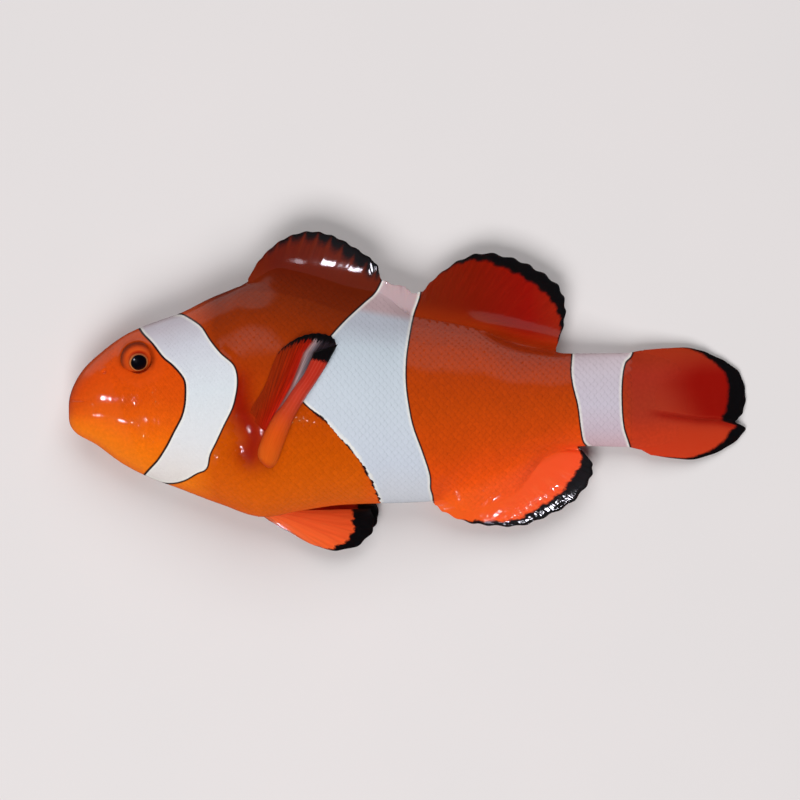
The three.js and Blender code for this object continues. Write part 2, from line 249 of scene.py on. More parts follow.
# The white bars: the edge in front, then the edge behind, of each. They run on past the outline.
BAR_STEPS = 70
HEAD_BAR_FRONT = [
    (-33.2, 9.2), (-31.85, 7.26), (-30.5, 5.9), (-29.2, 4.3), (-28, 3.3), (-27, 2.2), (-26.5, 1.3),
    (-26.4, 0.06), (-26.5, -1.5), (-26.9, -3), (-27.8, -4.7), (-28.7, -6.4), (-29.8, -8.05),
    (-30.8, -9.1), (-31.6, -9.9),
]
HEAD_BAR_REAR = [
    (-30, 11.5), (-28.3, 9.5), (-27.2, 9.3), (-25.9, 8.6), (-24.7, 7.7), (-23.7, 6.2), (-22.4, 4.6),
    (-21, 3.4), (-20.5, 2.35), (-20.4, 1), (-20.6, -0.4), (-21, -1.9), (-22, -3.9), (-22.9, -5.8),
    (-23.7, -7.4), (-24.1, -9), (-25.3, -9.6), (-26.7, -10.4), (-28.2, -10.8), (-29.8, -10.7),
    (-31.6, -10),
]
MIDDLE_BAR_FRONT = [
    (-2.6, 15), (-3.5, 12.8), (-4.2, 11.7), (-5.1, 10.9), (-6.5, 9.6), (-7.8, 8.3), (-9.6, 6.2),
    (-11.6, 3.4), (-13, 1.2), (-13.2, 0.1), (-12.4, -1.2), (-10.8, -2.6), (-9.5, -3.8),
    (-8.5, -5), (-7.2, -6.3), (-5.9, -8.1), (-4.7, -10.1), (-4, -11.7), (-3.4, -13.4), (-3, -16),
]
MIDDLE_BAR_REAR = [
    (1.6, 15), (1.3, 11.8), (0.5, 9.3), (-0.06, 6.4), (-0.4, 3.8), (-0.4, 0.8), (0, -2.1),
    (0.5, -4.3), (1.5, -7), (2.4, -9.8), (2.5, -11.5), (2.8, -12.7), (3, -16),
]
TAIL_BAR_FRONT = [(20, 8), (19.7, 4.7), (19.5, 2.7), (19.7, 0.85), (20.3, -1.6), (20.7, -4.4), (21.2, -6.1),
                  (22.8, -7.3), (24.5, -9)]
TAIL_BAR_REAR = [(27.6, 8), (26.9, 4.7), (26, 3.55), (25.6, 1.5), (25.55, -1.3), (25.8, -4.1),
                 (26.5, -6.2), (27.4, -9)]
FRONT_LINE = 0.22
FINE_LINE = 0.16


def white_depth(x, y):
    """How far inside a white bar a place is, in mm (less than 0 outside), and the black line's width."""
    depth = np.full(x.shape, -3.0)
    line = np.full(x.shape, FINE_LINE)
    for front, rear in (
        (HEAD_BAR_FRONT, HEAD_BAR_REAR),
        (MIDDLE_BAR_FRONT, MIDDLE_BAR_REAR),
        (TAIL_BAR_FRONT, TAIL_BAR_REAR),
    ):
        steps = np.linspace(0, 1, BAR_STEPS)
        outline = np.vstack([through(front)(steps), through(rear)(steps[::-1])])
        near = (x > outline[:, 0].min() - 3) & (x < outline[:, 0].max() + 3)
        away, inside = distance_to(x[near], y[near], outline)
        depth[near] = np.maximum(depth[near], np.where(inside, away, -away))
    head_middle = np.interp(y, [-11, -6, 0, 5, 10], [-30.5, -26, -23.4, -25.6, -30.2])
    line[(x < head_middle) & (x > -36)] = FRONT_LINE
    return depth, line


# Relief of the head and breast, in mm above (+) or below the plain flank
EYE = (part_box("eye_left")[0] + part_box("eye_left")[1]) / 2 / MM
LID_BELOW, LID_ABOVE = 1.7, 1.66
MOUTH = [(-42, -0.9), (-40.7, -0.92), (-39, -0.97), (-38, -1.1), (-37.6, -1.6), (-37.55, -2.3)]
CHEEK_GROOVE = [(-31.2, 1.6), (-30.3, -1.5), (-30.7, -4.8), (-32.4, -6.6), (-34.6, -7.2)]
NOSTRIL = (-36.4, 2.5)
BREAST_FIN_BASE = [(-19.9, -2.6), (-19.3, -5.2), (-18.2, -8)]


def relief(x, y):
    rise = 0.02 * np.sin(0.9 * x + 0.5 * y) * np.sin(0.55 * y - 0.3 * x)
    head = x < -18
    hx, hy = x[head], y[head]
    # lips and the slit between them
    slit = open_distance(hx, hy, MOUTH)
    shut = smooth_step(-37.3, -39.5, hx)
    lips = 0.03 * hump(slit - 0.5, 0.4) * shut - 0.12 * hump(slit, 0.13) * (0.12 + 0.88 * shut)
    # nostril
    reach = np.hypot(hx - NOSTRIL[0], hy - NOSTRIL[1])
    nostril = 0.05 * hump(reach - 0.36, 0.16) - 0.25 * hump(reach, 0.17)
    # eye socket: the skin runs up to the ball below it, and folds in a furrow and a brow above it
    reach = np.hypot(hx - EYE.x, hy - EYE.y)
    over = smooth_step(-0.5, 0.75, (hy - EYE.y) / np.maximum(reach, 0.1))
    lid = LID_BELOW + (LID_ABOVE - LID_BELOW) * over
    socket = -1.3 * (1 - smooth_step(-0.28, 0.02, reach - lid))
    below = -0.2 * hump(np.maximum(0, reach - lid), 0.55) * (1 - over)
    furrow = -0.2 * hump(reach - 1.8, 0.15) * over
    brow = over * 0.13 * hump(reach - 2.15, 0.22)
    # bony cheek edge, and the gill cover's free edge with the opening behind it
    groove = -0.05 * hump(open_distance(hx, hy, CHEEK_GROOVE), 0.4)
    gill = HEAD_BAR_REAR[6:16]
    away = open_distance(hx, hy, gill)
    edge_x = np.interp(hy, [p[1] for p in gill[::-1]], [p[0] for p in gill[::-1]])
    in_front = hx < edge_x
    cover = np.where(in_front, 0.06 * hump(away, 1.2), 0.06 * hump(away, 0.2) - 0.1 * hump(away - 0.4, 0.4))
    rise[head] += lips + nostril + socket + below + furrow + brow + groove + cover
    # fleshy base of the breast fin, with the hollow above it
    base = open_distance(x, y, BREAST_FIN_BASE)
    rise += 0.36 * hump(base, 1.5) - 0.2 * hump(np.hypot(x + 19, y + 1.4), 0.8)
    return rise


# On the fins the skin lies over the membrane, and thins out where it ends
SKIRT = 0.08
SKIRT_EDGE = 1.7


def skirt_end(x, y):
    """How far a place is from the end of the skin on a fin, in mm, less than 0 on the skin's side."""
    above = y - back_line(x) - run_out(x, 1)[1]
    below = belly_line(x) - y - run_out(x, -1)[1]
    return np.maximum(above, below)


def lofted_rings():
    """Ring points, and each one's distance from the lateral line, by equal steps of arc."""
    x = SNOUT_X + 0.1 + (SKIN_END_X - SNOUT_X - 0.1) * np.linspace(0.0004, 1, SKIN_RINGS) ** RING_CROWDING
    fine = np.cos(np.pi * np.linspace(0, 1, 301))
    at = np.repeat(x[:, None], len(fine), axis=1)
    depth = np.maximum(0.03, half_depth(at) - SCALE_DEPTH)
    out = np.where(fine > 0, run_out(at, 1)[1], run_out(at, -1)[1])
    ring_y = middle(at) + (depth + out) * fine
    place = np.abs(ring_y - middle(at)) / half_depth(at)
    share = np.where(fine > 0, run_out(at, 1)[0], run_out(at, -1)[0])
    half = thickness(at, ring_y) * np.maximum(0.05, 1 - SCALE_DEPTH / np.maximum(half_thickness(at), 0.06))
    skirt = SKIRT * share * smooth_step(RUN_OUT, 1, place)
    half = half + skirt * smooth_step(0, -SKIRT_EDGE, skirt_end(at, ring_y))
    half[:, [0, -1]] = 0
    level = lie(at, ring_y)
    halves = []
    for side, columns in ((1, UPPER_COLUMNS), (-1, LOWER_COLUMNS)):
        ring_z = level + side * half
        y = np.empty((SKIN_RINGS, columns + 1))
        z, away = y.copy(), y.copy()
        for i in range(SKIN_RINGS):
            arc = np.r_[0, np.cumsum(np.hypot(np.diff(ring_y[i]), np.diff(ring_z[i])))]
            even = np.linspace(0, arc[-1], columns + 1)
            y[i] = np.interp(even, arc, ring_y[i])
            z[i] = np.interp(even, arc, ring_z[i])
            away[i] = arc[len(fine) // 2] - even
        halves.append((y, z, away))
    return x, halves


ring_x, (upper, lower) = lofted_rings()


# The right breast fin lies folded under the flank, which is pressed in to make room for it
FIN_BED = [(-18.6, -4.6), (-11.2, 5.4)]
FIN_BED_HALF = 2.6
FIN_BED_HEIGHT = 0.66


def skin_points():
    """The skin's grid of points: rings from the snout back, and each from the back over the flank."""
    upper_y, upper_z, _ = upper
    lower_y, lower_z, _ = lower
    y = np.hstack([upper_y[:, :-1], lower_y[:, ::-1][:, :-1]])
    z = np.hstack([upper_z[:, :-1], lower_z[:, ::-1][:, :-1]])
    x = np.repeat(ring_x[:, None], y.shape[1], axis=1)
    grid = np.stack([x, y, z], axis=-1)
    around = np.roll(grid, -1, axis=1) - np.roll(grid, 1, axis=1)
    along = np.gradient(grid, axis=0)
    normal = np.cross(around, along)
    normal /= np.maximum(np.linalg.norm(normal, axis=-1, keepdims=True), 1e-9)
    edge = 1 - smooth_step(0.9, 1, np.abs(y - middle(x)) / half_depth(x))
    lift = relief(x.ravel(), y.ravel()).reshape(x.shape)
    front = smooth_step(SNOUT_X, SNOUT_X + 0.5, x)
    moved = grid + normal * (lift * front * (0.2 + 0.8 * edge))[..., None]
    under = np.arange(y.shape[1]) > UPPER_COLUMNS
    beside_bed = open_distance(x, y, FIN_BED) - FIN_BED_HALF
    fin_bed = FIN_BED_HEIGHT * (1 - smooth_step(0.2, 1.2, beside_bed))
    floor_level = np.where(under, np.maximum(FLOOR_CLEARANCE, fin_bed), FLOOR_CLEARANCE)
    moved[..., 2] = np.maximum(moved[..., 2], floor_level)
    return moved, y


def mesh_of(name, points, faces, values=None, smooth=True):
    """A mesh from points in mm, with a named value on each point."""
    mesh = bpy.data.meshes.new(name)
    mesh.from_pydata((np.asarray(points) * MM).tolist(), [], [list(map(int, face)) for face in faces])
    put_values(mesh, values or {})
    if smooth:
        mesh.shade_smooth()
    return mesh


def put_values(mesh, values):
    for key, value in values.items():
        value = np.asarray(value, np.float32)
        kind, field = ("FLOAT_VECTOR", "vector") if value.ndim > 1 else ("FLOAT", "value")
        mesh.attributes.new(key, kind, "POINT").data.foreach_set(field, value.ravel())


def shown(name, mesh, material, slot, *nodes):
    """The finished piece: its mesh in place, riding on the one body of the still model."""
    piece = bpy.data.objects.new(name, mesh)
    bpy.context.scene.collection.objects.link(piece)
    mesh.materials.clear()
    mesh.materials.append(material)
    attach(piece, "root")
    if nodes:
        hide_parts(*nodes)
    return piece


UNWRAP = 84.0
UPPER_ISLAND = 0.25
LOWER_ISLAND = 0.75


def unwrap(x, away, island):
    """Places on the skin's unwrap: along the body, and round it from the lateral line."""
    return np.stack([(x - SNOUT_X) / UNWRAP, island + away / UNWRAP], axis=-1)


def skin_faces_and_unwrap():
    columns = UPPER_COLUMNS + LOWER_COLUMNS
    i, j = np.meshgrid(np.arange(SKIN_RINGS - 1), np.arange(columns), indexing="ij")
    after = (j + 1) % columns
    row, next_row = i * columns, (i + 1) * columns
    faces = np.stack([row + j, row + after, next_row + after, next_row + j], -1)
    x = ring_x[:, None]
    top = unwrap(np.repeat(x, UPPER_COLUMNS + 1, 1), upper[2], UPPER_ISLAND)
    bottom = unwrap(np.repeat(x, LOWER_COLUMNS + 1, 1), -lower[2][:, ::-1], LOWER_ISLAND)
    places = np.empty(faces.shape + (2,))
    for island, first, count in ((top, 0, UPPER_COLUMNS), (bottom, UPPER_COLUMNS, LOWER_COLUMNS)):
        for corner, (di, dj) in enumerate(((0, 0), (0, 1), (1, 1), (1, 0))):
            places[:, first:first + count, corner] = island[di:SKIN_RINGS - 1 + di, dj:count + dj]
    return faces.reshape(-1, 4), places.reshape(-1, 2)


BLUSH = [(-20.6, 0.8), (-19.6, -2.6), (-18.3, -5), (-18.8, -7.2)]
DROPS = [
    (-34.8, -0.8, 0.6), (-18.9, -4.4, 1), (-20.1, -6.8, 0.9), (6.1, -14, 0.9), (9, -15.3, 1),
    (11.5, -15.2, 1), (13.4, -14.4, 1), (15.4, -14.2, 1), (19, -13.6, 1.2), (-15.4, -16, 0.7),
    (-12.7, -17.6, 0.7),
]


def markings(x, y):
    """What the paint needs on each point: the depth in the white, the line's width, the place across the
    body, how far out on a fin (more than 0 on the back, less on the belly), the red blush behind the gill
    cover, the painted shadow round the eye, the deeper red of the tail with painted shade under its fold,
    and where drops of water stand."""
    depth, line = white_depth(x, y)
    across = np.clip((y - middle(x)) / half_depth(x), -1.4, 1.4)
    out = np.maximum(0, y - back_line(x) + 1) - np.maximum(0, belly_line(x) - y + 1)
    reach = np.hypot(x - EYE.x, y - EYE.y)
    aside = np.abs(x - EYE.x) / np.maximum(reach, 0.1)
    # painted shade round the eye, beside and above it
    socket = hump(reach - 1.84, 0.17 + 0.25 * aside**2) * smooth_step(-1.2, 0.3, y - EYE.y + 0.6 * aside)
    fold_y = np.interp(x, *np.array(TAIL_FOLD).T)
    deep = smooth_step(28.5, 35, x - 0.5 * np.abs(y - 1)) * smooth_step(5.6, 1.8, y)
    deep = deep * smooth_step(-0.5, 0.3, y - fold_y)
    # a darker band just under the tail's fold, where the upper half overhangs: painted shade
    deep = deep + 0.75 * hump(y - fold_y + 0.5, 0.55) * smooth_step(28, 31, x) * (y < fold_y)
    wet = np.max([hump(np.hypot(x - a, y - b), r) for a, b, r in DROPS], axis=0)
    return {"white": depth, "line": line, "across": across, "on_fin": out, "drops": wet, "socket": socket,
            "deep": np.clip(deep, 0, 1), "blush": hump(open_distance(x, y, BLUSH), 1.9)}


grid, plan_y = skin_points()
columns = grid.shape[1]
faces, places = skin_faces_and_unwrap()
nose = [SNOUT_X + 0.06, middle(ring_x[0]), mid_height(ring_x[0])]
tail = [SKIN_END_X + 0.05, middle(SKIN_END_X), mid_height(SKIN_END_X)]
points = np.vstack([grid.reshape(-1, 3), nose, tail])
first_tip, last_ring = len(points) - 2, (SKIN_RINGS - 1) * columns
caps = [[first_tip, (j + 1) % columns, j] for j in range(columns)]
caps += [[first_tip + 1, last_ring + j, last_ring + (j + 1) % columns] for j in range(columns)]
plan = np.r_[plan_y.ravel(), nose[1], tail[1]]
skin_mesh = mesh_of("skin", points, [*faces, *caps], markings(points[:, 0], plan))
bake_map = skin_mesh.uv_layers.new(name="OFBake")
cap_places = [np.repeat([[place, UPPER_ISLAND]], 3 * columns, 0) for place in (0.001, 0.985)]
bake_map.data.foreach_set("uv", np.vstack([places, *cap_places]).astype(np.float32).ravel())
vertex_normals = np.empty(len(points) * 3, np.float32)
skin_mesh.vertices.foreach_get("normal", vertex_normals)
put_values(skin_mesh, {
    "film": vertex_normals.reshape(-1, 3),
    "tone": np.zeros(len(points)),
    "rear": np.full(len(points), 0.3),
})


def linear(colour):
    """A colour as a hex value to the linear one that the shader takes."""
    levels = [int(colour[k:k + 2], 16) / 255 for k in (1, 3, 5)]
    return (*[v / 12.92 if v <= 0.04045 else ((v + 0.055) / 1.055) ** 2.4 for v in levels], 1)


def add(tree, kind, inputs=(), out=None, stops=(), **settings):
    """Adds a node, sets it, and returns the output asked for, or else its first. Its inputs are filled or
    linked by name, or by a list in the node's own order. A kind without a family is a shader node."""
    node = tree.nodes.new(kind if "Node" in kind else f"ShaderNode{kind}")
    for key, value in settings.items():
        setattr(node, key, value)
    if isinstance(inputs, list):
        inputs = zip([socket.identifier for socket in node.inputs if socket.enabled], inputs)
    for key, value in dict(inputs).items():
        socket = next((s for s in node.inputs if s.identifier == key), None) or node.inputs[key]
        if isinstance(value, bpy.types.NodeSocket):
            tree.links.new(value, socket)
        elif isinstance(value, str) and value.startswith("#"):
            socket.default_value = linear(value)
        else:
            socket.default_value = value
    for k, (place, colour) in enumerate(stops):
        band = node.color_ramp.elements
        stop = band[k] if k < 2 else band.new(place)
        stop.position, stop.color = place, linear(colour)
    return node.outputs[out] if out else next((o for o in node.outputs if o.enabled), node)


def new_material(name):
    material = bpy.data.materials.new(name)
    material.use_nodes = True
    material.node_tree.nodes.clear()
    return material, material.node_tree


def turning(tree, colour, other, value, start, end, blend="LINEAR"):
    """A colour that turns into another as a value runs from start to end, and how far it has turned."""
    share = add(tree, "MapRange", [value, start, end], interpolation_type=blend)
    return add(tree, "Mix", [share, colour, other], data_type="RGBA"), share


def pigment(tree):
    """The fish's colours: orange, darker up the flank (partly its own countershading, partly painted
    shade), and redder and darker on the back fins (partly their own red, partly painted shade); the anal
    fin bright orange (partly its own, partly painted light shining through it); and the white bars, greyer
    towards the back as painted shade, with a paler rim and a thin black line. The skin and the feet of the
    fins share them."""
    value = {key: add(tree, "Attribute", attribute_name=key, out="Fac")
             for key in ("white", "line", "across", "on_fin", "blush", "socket", "deep")}
    place = add(tree, "TexCoord", out="Object")
    x = add(tree, "SeparateXYZ", [place], out="X")
    y = x.node.outputs["Y"]
    mottle = add(tree, "TexNoise", {"Vector": place, "Scale": 260, "Detail": 3})
    height = add(tree, "MapRange", [value["across"], -1, 1, -0.05, 0.95])
    height = add(tree, "Math", [mottle, 0.1, height], operation="MULTIPLY_ADD")
    # Each ramp runs from the belly to the back. The orange ramps darken towards the back, partly the fish's
    # own countershading and partly painted shade; the white ramps grey towards the back: painted shade.
    ramps = {
        "head": ((0.05, "#f57e0c"), (0.25, "#ec6c0a"), (0.36, "#e15c0a"), (0.5, "#d54e08"),
                 (0.75, "#d84808"), (0.95, "#d04a0e")),
        "chest": ((0.05, "#d45c08"), (0.25, "#c25002"), (0.45, "#b24202"), (0.62, "#a03404"),
                  (0.8, "#8c2c04"), (0.95, "#782404")),
        "loin": ((0.05, "#ee500a"), (0.15, "#de4a0a"), (0.27, "#c84508"), (0.5, "#b74006"),
                 (0.75, "#aa3806"), (0.95, "#a0320a")),
        "white": ((0.05, "#e4dcd8"), (0.3, "#dcdcdf"), (0.55, "#d6dce2"), (0.8, "#d0d0da"),
                  (0.93, "#c8c0ca")),
        "middle": ((0.05, "#ccced6"), (0.2, "#c6ccd8"), (0.5, "#c6ced8"), (0.8, "#c4ced8"),
                   (0.93, "#bcc0cc")),
    }
    colour = {key: add(tree, "ValToRGB", [height], stops=stops) for key, stops in ramps.items()}
    along = add(tree, "MapRange", [x, -0.02, 0.02])
    # The back fins: dark red-brown, partly their own red and partly painted shade, a little lighter at the
    # spiny fin's front edge as painted light shining through it. The anal fin: bright orange, partly its
    # own and partly painted light shining through it.
    back_fins = add(tree, "ValToRGB", [along], stops=(
        (0.0, "#702004"), (0.1, "#601604"), (0.2, "#641a06"), (0.44, "#641e06"), (0.5, "#722006"),
        (0.7, "#7c1402"), (0.86, "#8e0e06"), (0.95, "#94200e")))
    anal_fin = add(tree, "ValToRGB", [along], stops=(
        (0.55, "#ee6016"), (0.7, "#fa5c1c"), (0.85, "#fa5624"), (1.0, "#f65024")))
    down = add(tree, "MapRange", [y, -0.0085, 0.0055])
    tail_fin = add(tree, "ValToRGB", [down], stops=(
        (0.0, "#c83c1e"), (0.25, "#be381c"), (0.4, "#aa3420"), (0.5, "#a63420"), (0.75, "#a63020"),
        (1.0, "#9c3016")))
    hue = colour["head"]
    for change in (
        (colour["chest"], x, -0.027, -0.023), (colour["loin"], x, -0.006, -0.001),
        (back_fins, value["on_fin"], 0, 4, "SMOOTHSTEP"),
        (anal_fin, value["on_fin"], 0.4, -2.2, "SMOOTHSTEP"), (tail_fin, x, 0.0235, 0.0275, "SMOOTHSTEP"),
    ):
        hue, _ = turning(tree, hue, *change)
    # Tints: the red flesh behind the gill cover, painted shade round the eye, and the tail's deeper red
    # with painted shade under its fold.
    for key, share, tint in (("blush", 0.9, "#8a0c03"), ("socket", 0.7, "#742004"),
                             ("deep", 0.9, "#8e0804")):
        share = add(tree, "Math", [value[key], share], operation="MULTIPLY")
        hue = add(tree, "Mix", [share, hue, tint], data_type="RGBA")
    tail_white = add(tree, "ValToRGB", [down], stops=(
        (0.1, "#cca7ad"), (0.3, "#c8b6c2"), (0.5, "#cac1ce"), (0.75, "#cabfca"), (1.0, "#d0bdc4")))
    white = colour["white"]
    for change in (
        (colour["middle"], x, -0.02, -0.015), (tail_white, x, 0.012, 0.016),
        ("#bea4a8", value["on_fin"], 0.2, 1.4, "SMOOTHSTEP"),
    ):
        white, _ = turning(tree, white, *change)
    rim = add(tree, "MapRange", [value["white"], 0.1, 0.38, 0.8, 0])
    white = add(tree, "Mix", [rim, white, "#ebe7e0"], data_type="RGBA")
    outer = add(tree, "Math", [value["white"], value["line"]], operation="ADD")
    hue, _ = turning(tree, hue, "#140c12", outer, -0.12, 0.06, "SMOOTHSTEP")
    hue, is_white = turning(tree, hue, white, value["white"], -0.05, 0.05, "SMOOTHSTEP")
    return hue, is_white, place


def drops_on(tree, place, film):
    """The normal of the film of water, uneven where drops stand on it, so that it glitters there."""
    wet = add(tree, "Attribute", attribute_name="drops", out="Fac")
    swell = add(tree, "TexNoise", {"Vector": place, "Scale": 1700, "Detail": 1})
    swell = add(tree, "Math", [swell, wet], operation="MULTIPLY")
    return add(tree, "Bump", {"Height": swell, "Strength": 1, "Distance": 0.00006, "Normal": film})


WET_FLESH = {"Roughness": 0.5, "IOR": 1.4, "Specular IOR Level": 0.15,
             "Coat Weight": 1, "Coat Roughness": 0.07, "Coat IOR": 1.33}


def paint_skin():
    """Wet fish skin: pigment cells under a clear film of water, so soft colour and sharp highlights."""
    material, tree = new_material("wet_fish_skin")
    hue, is_white, place = pigment(tree)
    tone, rear = (add(tree, "Attribute", attribute_name=key, out="Fac") for key in ("tone", "rear"))
    grit = add(tree, "TexNoise", {"Vector": place, "Scale": 2600, "Detail": 2})
    # a little lighter or darker from scale to scale, and from cell to cell
    gain = add(tree, "MapRange", [tone, -1, 1, 0.965, 1.035])
    speck = add(tree, "MapRange", [grit, 0.25, 0.75, 0.93, 1.07])
    # and painted shade: each scale a little darker towards its free rear edge, where it laps over the next
    shaded = add(tree, "MapRange", [rear, 0.72, 1, 1, 0.975])
    for factor in (speck, shaded):
        gain = add(tree, "Math", [gain, factor], operation="MULTIPLY")
    calm = add(tree, "MapRange", [is_white, 0, 1, 1, 0.15])
    gain = add(tree, "Mix", [calm, 1, gain], data_type="FLOAT")
    hue = add(tree, "VectorMath", [hue, gain], operation="SCALE")
    bump = add(tree, "Bump", {"Height": grit, "Strength": 0.1, "Distance": 0.00003})
    film = add(tree, "Attribute", attribute_name="film", out="Vector")
    shader = add(tree, "BsdfPrincipled", {
        "Base Color": hue, "Normal": bump, "Coat Normal": drops_on(tree, place, film), **WET_FLESH,
    })
    add(tree, "OutputMaterial", {"Surface": shader})
    return material


skin_paint = paint_skin()
skin = shown("skin", skin_mesh, skin_paint, "skin_orange",
             "head", "lower_jaw", "gill_cover_left", "gill_cover_right", "trunk", "tail_stalk")

# --------------------------------------------------------------------------------------------
# Scales: thin, round-ended plates of bone in staggered rows along each flank, and a little way up
# the upright fins. Each is rooted in the skin at its front and laps over the next with its free
# rear edge. They are small on the cheek and gill cover, and there are none on the lips and snout.
BODY_PITCH, BODY_ROW = 0.84, 0.47
HEAD_PITCH, HEAD_ROW = 0.56, 0.33
PLATE_LENGTH = 1.5
PLATE_WIDTH = 2.3
PLATE_RISE = 0.024
PLATE_ROOT = -0.025
PATCH = 0.003


def scale_plate(pitch, row):
    """One scale with its root at the origin: its plan in units of the unwrap, its height in metres."""
    across_plate = np.linspace(-1, 1, 5)
    # how far each row of points is towards the free edge, and how high, as shares
    steps = [(0, 0), (0.4, 0.45), (0.75, 0.8), (0.93, 0.97), (1, 0.9), (1.03, 0)]
    points, rear = [], []
    for step, lift in steps:
        for a in across_plate:
            reach = math.sqrt(1 - (0.86 * a) ** 2) * step - 0.35
            wide = 0.5 * PLATE_WIDTH * row * a * (0.75 + 0.25 * min(1, 2 * step))
            height = PLATE_ROOT + (PLATE_RISE - PLATE_ROOT) * lift * (1 - 0.35 * a * a)
            points.append((PLATE_LENGTH * pitch * reach / UNWRAP, wide / UNWRAP, height * MM))
            rear.append(min(1, step))
    faces = []
    for i in range(len(steps) - 1):
        for j in range(len(across_plate) - 1):
            k = i * len(across_plate) + j
            faces.append([k, k + len(across_plate), k + len(across_plate) + 1, k + 1])
    mesh = mesh_of("scale_plate", np.array(points) / MM, faces, {"rear": rear})
    return bpy.data.objects.new("scale_plate", mesh)


def plan_place(x, away, half):
    """The height across the body of a place on the unwrap, and whether the flank reaches that far."""
    y_of, _, away_of = half
    ring = np.clip(np.searchsorted(ring_x, x), 0, SKIN_RINGS - 1)
    y, held = np.zeros(x.shape), np.zeros(x.shape, bool)
    for i in np.unique(ring):
        here = ring == i
        y[here] = np.interp(away[here], away_of[i][::-1], y_of[i][::-1])
        held[here] = (away[here] < away_of[i][0] - 0.2) & (away[here] > away_of[i][-1] + 0.2)
    return y, held


def scale_seeds(name, half, side, pitch, row, on_head, low_x, high_x):
    """Roots of the scales of one flank between two places along the body, as loose points."""
    island = UPPER_ISLAND if side > 0 else LOWER_ISLAND
    rows = np.arange(-46, 47)
    steps = np.arange(math.ceil(low_x / pitch), high_x / pitch)
    i, j = np.meshgrid(steps, rows, indexing="ij")
    x = (i + 0.5 * (j % 2)).ravel() * pitch
    away = j.ravel() * row
    luck = np.random.default_rng(7)
    x = x + luck.uniform(-0.08, 0.08, x.size) * pitch
    y, held = plan_place(x, away, half)
    gill = HEAD_BAR_REAR[5:17]
    edge_x = np.interp(y, [p[1] for p in gill[::-1]], [p[0] for p in gill[::-1]])
    to_edge = open_distance(x, y, gill)
    if on_head:
        reach = np.hypot(x - EYE.x, y - EYE.y)
        bare = (x + 0.35 * y < -35.2) | (reach < 3.4) | (x > edge_x) | (to_edge < 0.62)
    else:
        bare = (x < edge_x) | (to_edge < 0.4) | (open_distance(x, y, BREAST_FIN_BASE) < 1.7)
    sheathed = np.where(y > middle(x), run_out(x, 1)[0], run_out(x, -1)[0]) > 0.3
    bare |= sheathed & (skirt_end(x, y) > np.where((x > 0) & (y > 0), -0.35, -1.3))
    held &= ~bare & (x >= low_x) & (x < high_x)
    x, y, away = x[held], y[held], away[held]
    roots = np.c_[unwrap(x, side * away, island), np.zeros(x.size)]
    mesh = bpy.data.meshes.new(name)
    mesh.from_pydata(roots.tolist(), [], [])
    put_values(mesh, {"root": roots, "seat": np.c_[x, y, luck.uniform(-1, 1, x.size)]})
    return bpy.data.objects.new(name, mesh)


def scale_rows_tree():
    """Sets a plate on every root, lays it on the unwrap, and carries it from there to the skin."""
    tree = bpy.data.node_groups.new("scale_rows", "GeometryNodeTree")
    for label, kind in (("Roots", "Geometry"), ("Plate", "Object"), ("Skin", "Object"),
                        ("Patch share", "Float"), ("Paint", "Material")):
        tree.interface.new_socket(label, in_out="INPUT", socket_type=f"NodeSocket{kind}")
    tree.interface.new_socket("Scales", in_out="OUTPUT", socket_type="NodeSocketGeometry")
    given = {s.name: s for s in add(tree, "NodeGroupInput", out="Roots").node.outputs}
    plate = add(tree, "GeometryNodeObjectInfo", {"Object": given["Plate"]}, out="Geometry")
    skin_shape = add(tree, "GeometryNodeObjectInfo", {"Object": given["Skin"]}, out="Geometry")
    seats = add(tree, "GeometryNodeMeshToPoints", {"Mesh": given["Roots"]})
    laid = add(tree, "GeometryNodeInstanceOnPoints", {"Points": seats, "Instance": plate})
    laid = add(tree, "GeometryNodeRealizeInstances", {"Geometry": laid})
    place = add(tree, "GeometryNodeInputPosition")
    root, film, charted = (
        add(tree, "GeometryNodeInputNamedAttribute", {"Name": key}, data_type="FLOAT_VECTOR")
        for key in ("root", "film", "OFBake"))
    outward = add(tree, "VectorMath", [place, root], operation="SUBTRACT")
    outward = add(tree, "VectorMath", [outward, given["Patch share"]], operation="SCALE")
    patch = add(tree, "VectorMath", [root, outward], operation="ADD")
    found = {}
    for key, field in (("place", place), ("film", film)):
        sample = {"Mesh": skin_shape, "Value": field, "Source UV Map": charted, "Sample UV": place}
        found[key] = add(tree, "GeometryNodeSampleUVSurface", sample, out="Value", data_type="FLOAT_VECTOR")
    for key, field, kind, domain in (("OFBake", patch, "FLOAT2", "CORNER"),
                                     ("film", found["film"], "FLOAT_VECTOR", "POINT")):
        laid = add(tree, "GeometryNodeStoreNamedAttribute", {"Geometry": laid, "Name": key, "Value": field},
                   data_type=kind, domain=domain)
    off_skin = add(tree, "FunctionNodeBooleanMath", {"Boolean": found["place"].node.outputs["Is Valid"]},
                   operation="NOT")
    laid = add(tree, "GeometryNodeDeleteGeometry", {"Geometry": laid, "Selection": off_skin})
    height = add(tree, "SeparateXYZ", [place], out="Z")
    up = add(tree, "VectorMath", [found["film"], height], operation="SCALE")
    up = add(tree, "VectorMath", [up, found["place"]], operation="ADD")
    laid = add(tree, "GeometryNodeSetPosition", {"Geometry": laid, "Position": up})
    laid = add(tree, "GeometryNodeSetShadeSmooth", {"Geometry": laid})
    laid = add(tree, "GeometryNodeSetMaterial", {"Geometry": laid, "Material": given["Paint"]})
    add(tree, "NodeGroupOutput", {"Scales": laid})
    return tree


